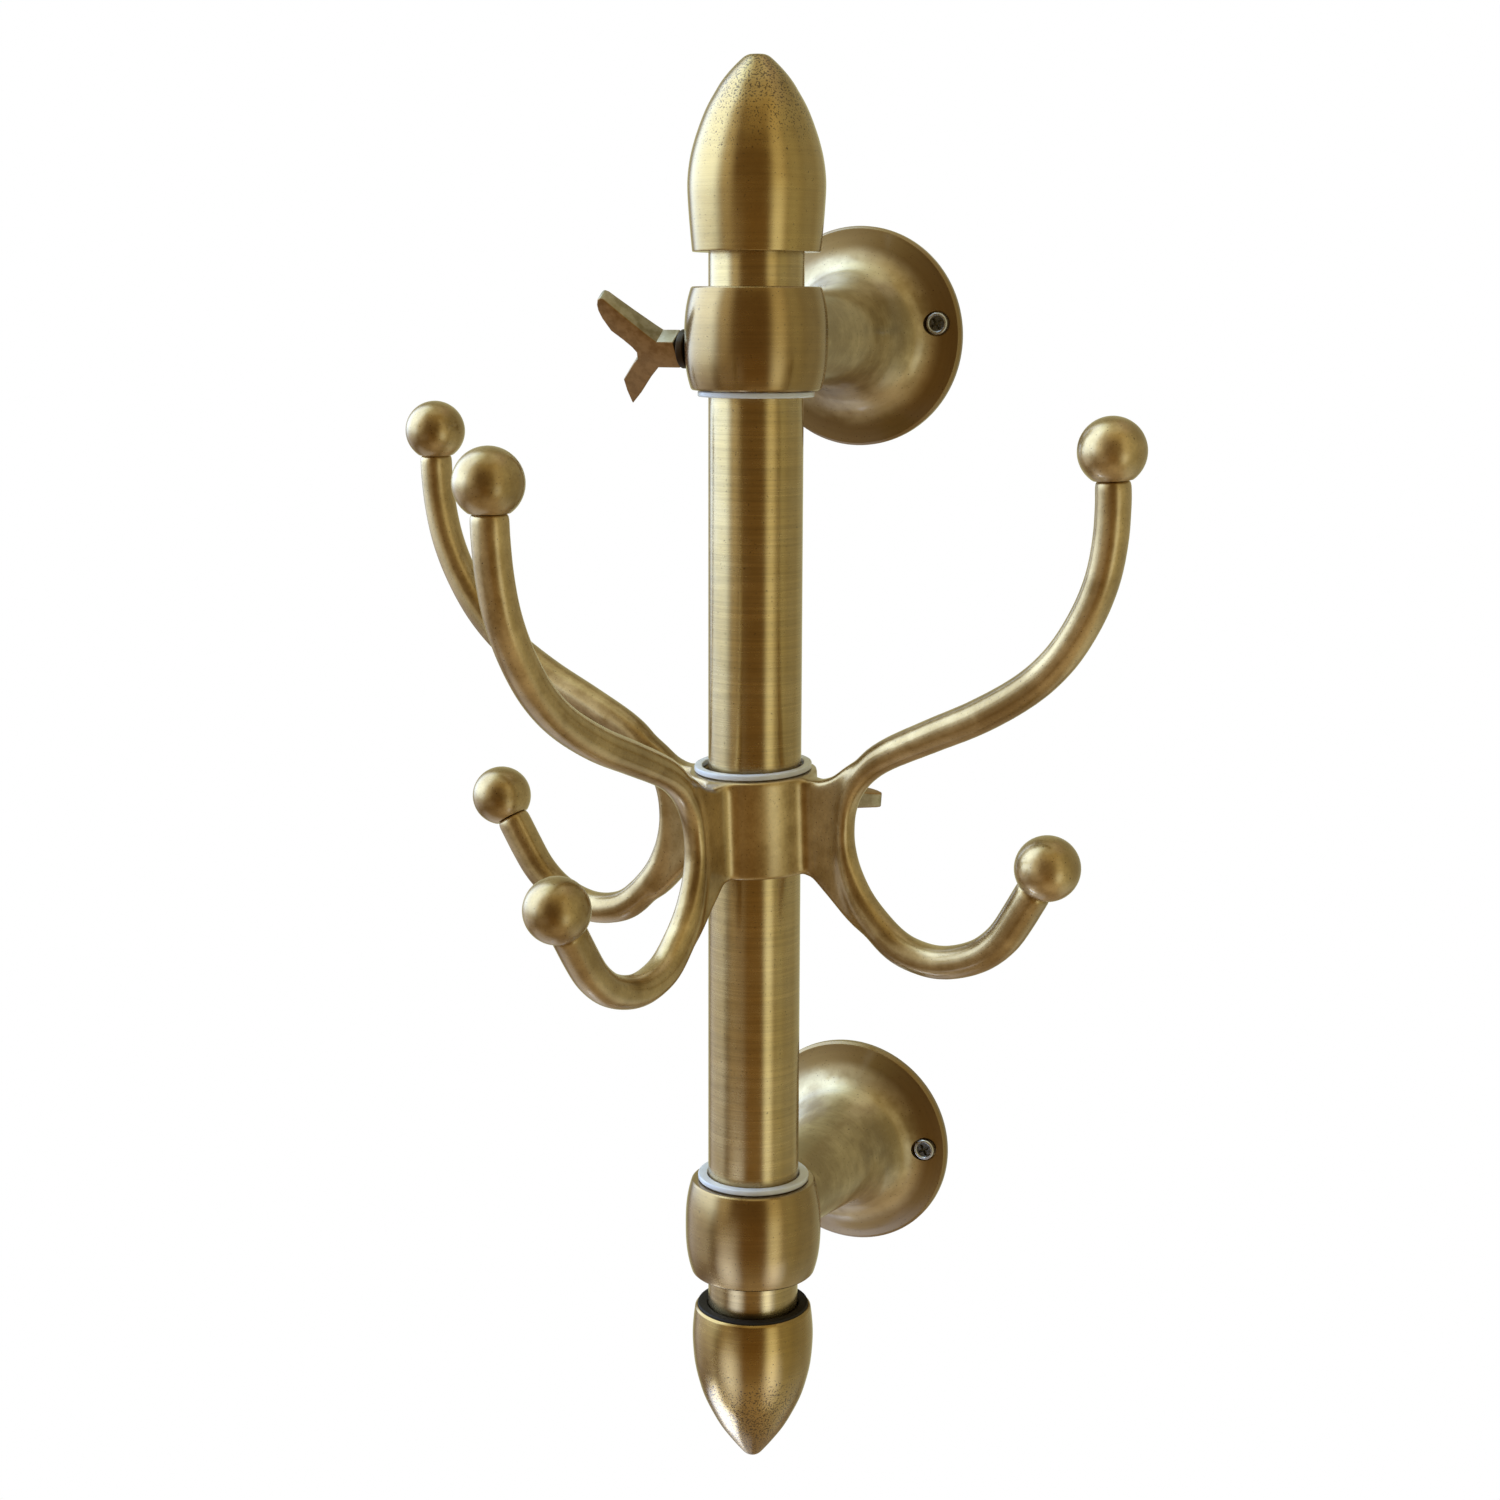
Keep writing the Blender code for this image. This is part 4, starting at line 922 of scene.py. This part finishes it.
def make_rack():
    """Every piece that shows, and the looks of the inner pieces that stay as the frame has them."""
    for level, wall, post, turn in (("upper", UPPER_WALL, POST, UPPER_SCREWS_TURN),
                                    ("lower", LOWER_WALL, LOWER_POST, LOWER_SCREWS_TURN)):
        make_collar(level, post)
        make_bell(level, wall, post, turn)
        make_wall_screw(level + "_wall_screw_left", wall, turn, -WALL_SCREW_PLACE)
        make_wall_screw(level + "_wall_screw_right", wall, turn, WALL_SCREW_PLACE)
    make_post()
    half = COLLAR_HEIGHT / 2
    inner = POST_RADIUS + GAP
    make_washer("upper_washer", POST, inner, WASHER_RADIUS, -half - GAP - WASHER_THICKNESS, "upper_washer")
    make_washer("lower_washer", LOWER_POST, inner, WASHER_RADIUS, half + GAP, "brackets")
    make_washer("hook_washer", CASTING, RING_BORE + GAP, RING_WASHER_RADIUS, RING_HEIGHT / 2 + GAP,
                "hook_washer")
    make_casting()
    make_wing_head("bracket_wing_head", BRACKET_SCREW, COLLAR_BELLY_RADIUS, BRACKET_WING_TURN,
                   BRACKET_WING_BRONZE, "bracket_wing")
    make_wing_head("hook_wing_head", HOOK_SCREW, RING_RADIUS, HOOK_WING_TURN, HOOK_WING_BRONZE, "hook_wing")
    for name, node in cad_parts.items():
        if not node.hide_render:
            node.data.materials.clear()
            node.data.materials.append(STEEL)


# Studio: zones of the room's light. Each has its azimuths and elevations in degrees, its softness at the
# edges and its colour. Azimuth counts from behind the camera, and grows to the camera's right.
ROOM_ZONES = (
    (-180, 180, -90, 90, 1, (0.215, 0.133, 0.049)),
    (-142, -68, -5, 62, 11, (2.25, 3.05, 4.2)),
    (-140, -80, -28, -8, 10, (0.58, 0.66, 0.77)),
    (-64, -43, -5, 65, 10, (0.7, 0.72, 0.58)),
    (-150, -70, 56, 78, 10, (0.89, 1.32, 1.56)),
    (-180, 180, 66, 90, 8, (0.69, 0.77, 0.62)),
    (26, 49, -40, 45, 8, (0.7, 0.69, 0.44)),
    (26, 46, -34, -6, 8, (0.59, 0.77, 0.84)),
    (52, 80, -35, 60, 10, (0.36, 0.4, 0.27)),
    (82, 112, -35, 60, 10, (0.26, 0.31, 0.24)),
    (114, 148, -35, 60, 12, (0.27, 0.32, 0.23)),
    (152, 208, -35, 60, 12, (0.34, 0.4, 0.27)),
    (-180, 180, -90, -44, 8, (0.22, 0.2, 0.16)),
    (-175, -85, -85, -42, 10, (0.29, 0.38, 0.54)),
    (-22, 22, -34, -12, 9, (0.07, 0.03, 0.0)),
    (-65, -24, -32, -12, 9, (0.3, 0.29, 0.25)),
    (-35, 60, 42, 68, 10, (0.37, 0.32, 0.15)),
    (60, 150, 50, 72, 10, (0.26, 0.24, 0.24)),
    (-20, 50, -72, -36, 10, (0.24, 0.22, 0.155)),
    (54, 130, -62, -34, 10, (0.33, 0.42, 0.39)),
)

# Low panels: each has its name, azimuth, elevation, the point that it faces, its distance and side in metres,
# its power in watts and its spread in degrees
LOWER_BUD = (0, -STANDOFF, -0.353)
LOWER_TIP = (0, -STANDOFF, -0.365)
LOW_LIGHT = (0.68, 0.86, 1.25)
LOW_PANELS = (
    ("low_left_panel", -48, -38, LOWER_BUD, 0.1, 0.16, 0.013, 46),
    ("low_right_panel", 42, -40, LOWER_BUD, 0.1, 0.12, 0.0045, 40),
    ("low_side_panel", -105, -55, LOWER_TIP, 0.14, 0.08, 0.014, 60),
)

# Floor
FLOOR_PLACE = (0, 0, -1.6)
FLOOR_HALF_SIDE = 2.0
FLOOR_SQUARES = 8
FLOOR_COLOUR = rgb(0.8, 0.74, 0.66)
WHITE = {"Color": rgb(1, 1, 1), "Strength": 1.0}


def ray_kinds(tree):
    """Whether a ray is the camera's, straight or through the plastic, and whether it is a reflection."""
    ray = add(tree, "LightPath").outputs
    return maths(tree, "MAXIMUM", ray["Is Camera Ray"], ray["Is Transmission Ray"]), ray["Is Glossy Ray"]


def make_world(zones):
    """White where the camera looks, and round the rack a room made of soft zones of light."""
    world = bpy.data.worlds.new("studio")
    bpy.context.scene.world = world
    world.use_nodes = True
    tree = world.node_tree
    tree.nodes.clear()
    outward = add(tree, "TexCoord").outputs["Generated"]
    way = add(tree, "VectorMath", {0: outward}, operation="NORMALIZE").outputs[0]

    def share(x, y, z):
        return add(tree, "VectorMath", {0: way, 1: (x, y, z)}, operation="DOT_PRODUCT").outputs["Value"]

    near = share(math.sin(CAMERA_AZIMUTH), -math.cos(CAMERA_AZIMUTH), 0)
    right = share(math.cos(CAMERA_AZIMUTH), math.sin(CAMERA_AZIMUTH), 0)
    azimuth = maths(tree, "DEGREES", maths(tree, "ARCTAN2", right, near))
    elevation = maths(tree, "DEGREES", maths(tree, "ARCSINE", share(0, 0, 1)))
    light = (0, 0, 0)
    for from_left, to_right, below, above, soft, colour in zones:
        half = (to_right - from_left) / 2
        turn = maths(tree, "WRAP", maths(tree, "SUBTRACT", azimuth, from_left + half), 180, -180)
        inside = ramp(tree, maths(tree, "ABSOLUTE", turn), half + soft, half - soft) if half < 180 else 1.0
        middle = (below + above) / 2
        rise = maths(tree, "ABSOLUTE", maths(tree, "SUBTRACT", elevation, middle))
        level = ramp(tree, rise, above - middle + soft, above - middle - soft)
        mask = maths(tree, "MULTIPLY", inside, level)
        light = add(tree, "VectorMath", {0: mask, 1: colour, 2: light}, operation="MULTIPLY_ADD").outputs[0]
    seen, _ = ray_kinds(tree)
    room = add(tree, "Background", {"Color": light, "Strength": 1.0})
    white = add(tree, "Background", WHITE)
    mix = add(tree, "MixShader", {0: seen, 1: room.outputs[0], 2: white.outputs[0]})
    add(tree, "OutputWorld", {"Surface": mix.outputs[0]})


def make_panel(name, azimuth, elevation, middle, distance, side, power, spread):
    """A soft square panel of light that faces a point from a direction, given as the zones have theirs."""
    lamp = bpy.data.lights.new(name, "AREA")
    lamp.shape = "SQUARE"
    lamp.size = side
    lamp.spread = math.radians(spread)
    lamp.color = LOW_LIGHT
    lamp.energy = power
    panel = bpy.data.objects.new(name, lamp)
    turn = CAMERA_AZIMUTH + math.radians(azimuth)
    rise = math.radians(elevation)
    toward = Vector((math.sin(turn) * math.cos(rise), -math.cos(turn) * math.cos(rise), math.sin(rise)))
    panel.location = Vector(middle) + toward * distance
    panel.rotation_euler = toward.to_track_quat("Z", "Y").to_euler()
    panel.visible_camera = False
    bpy.context.scene.collection.objects.link(panel)
    return panel


def make_floor():
    """A pale floor well below the rack, white where it is seen."""
    form = bmesh.new()
    bmesh.ops.create_grid(form, x_segments=FLOOR_SQUARES, y_segments=FLOOR_SQUARES, size=FLOOR_HALF_SIDE)
    floor = to_object(form, "floor", frame_at(FLOOR_PLACE))
    made = bpy.data.materials.new("floor_white")
    made.use_nodes = True
    tree = made.node_tree
    tree.nodes.clear()
    seen, reflected = ray_kinds(tree)
    pale = add(tree, "BsdfDiffuse", {"Color": FLOOR_COLOUR})
    clear = add(tree, "BsdfTransparent")
    passed = add(tree, "MixShader", {0: reflected, 1: pale.outputs[0], 2: clear.outputs[0]})
    white = add(tree, "Emission", WHITE)
    mix = add(tree, "MixShader", {0: seen, 1: passed.outputs[0], 2: white.outputs[0]})
    add(tree, "OutputMaterial", {"Surface": mix.outputs[0]})
    floor.data.materials.append(made)


make_camera()
make_rack()
make_world(ROOM_ZONES)
for panel in LOW_PANELS:
    make_panel(*panel)
make_floor()
bpy.context.scene.view_settings.view_transform = "Standard"
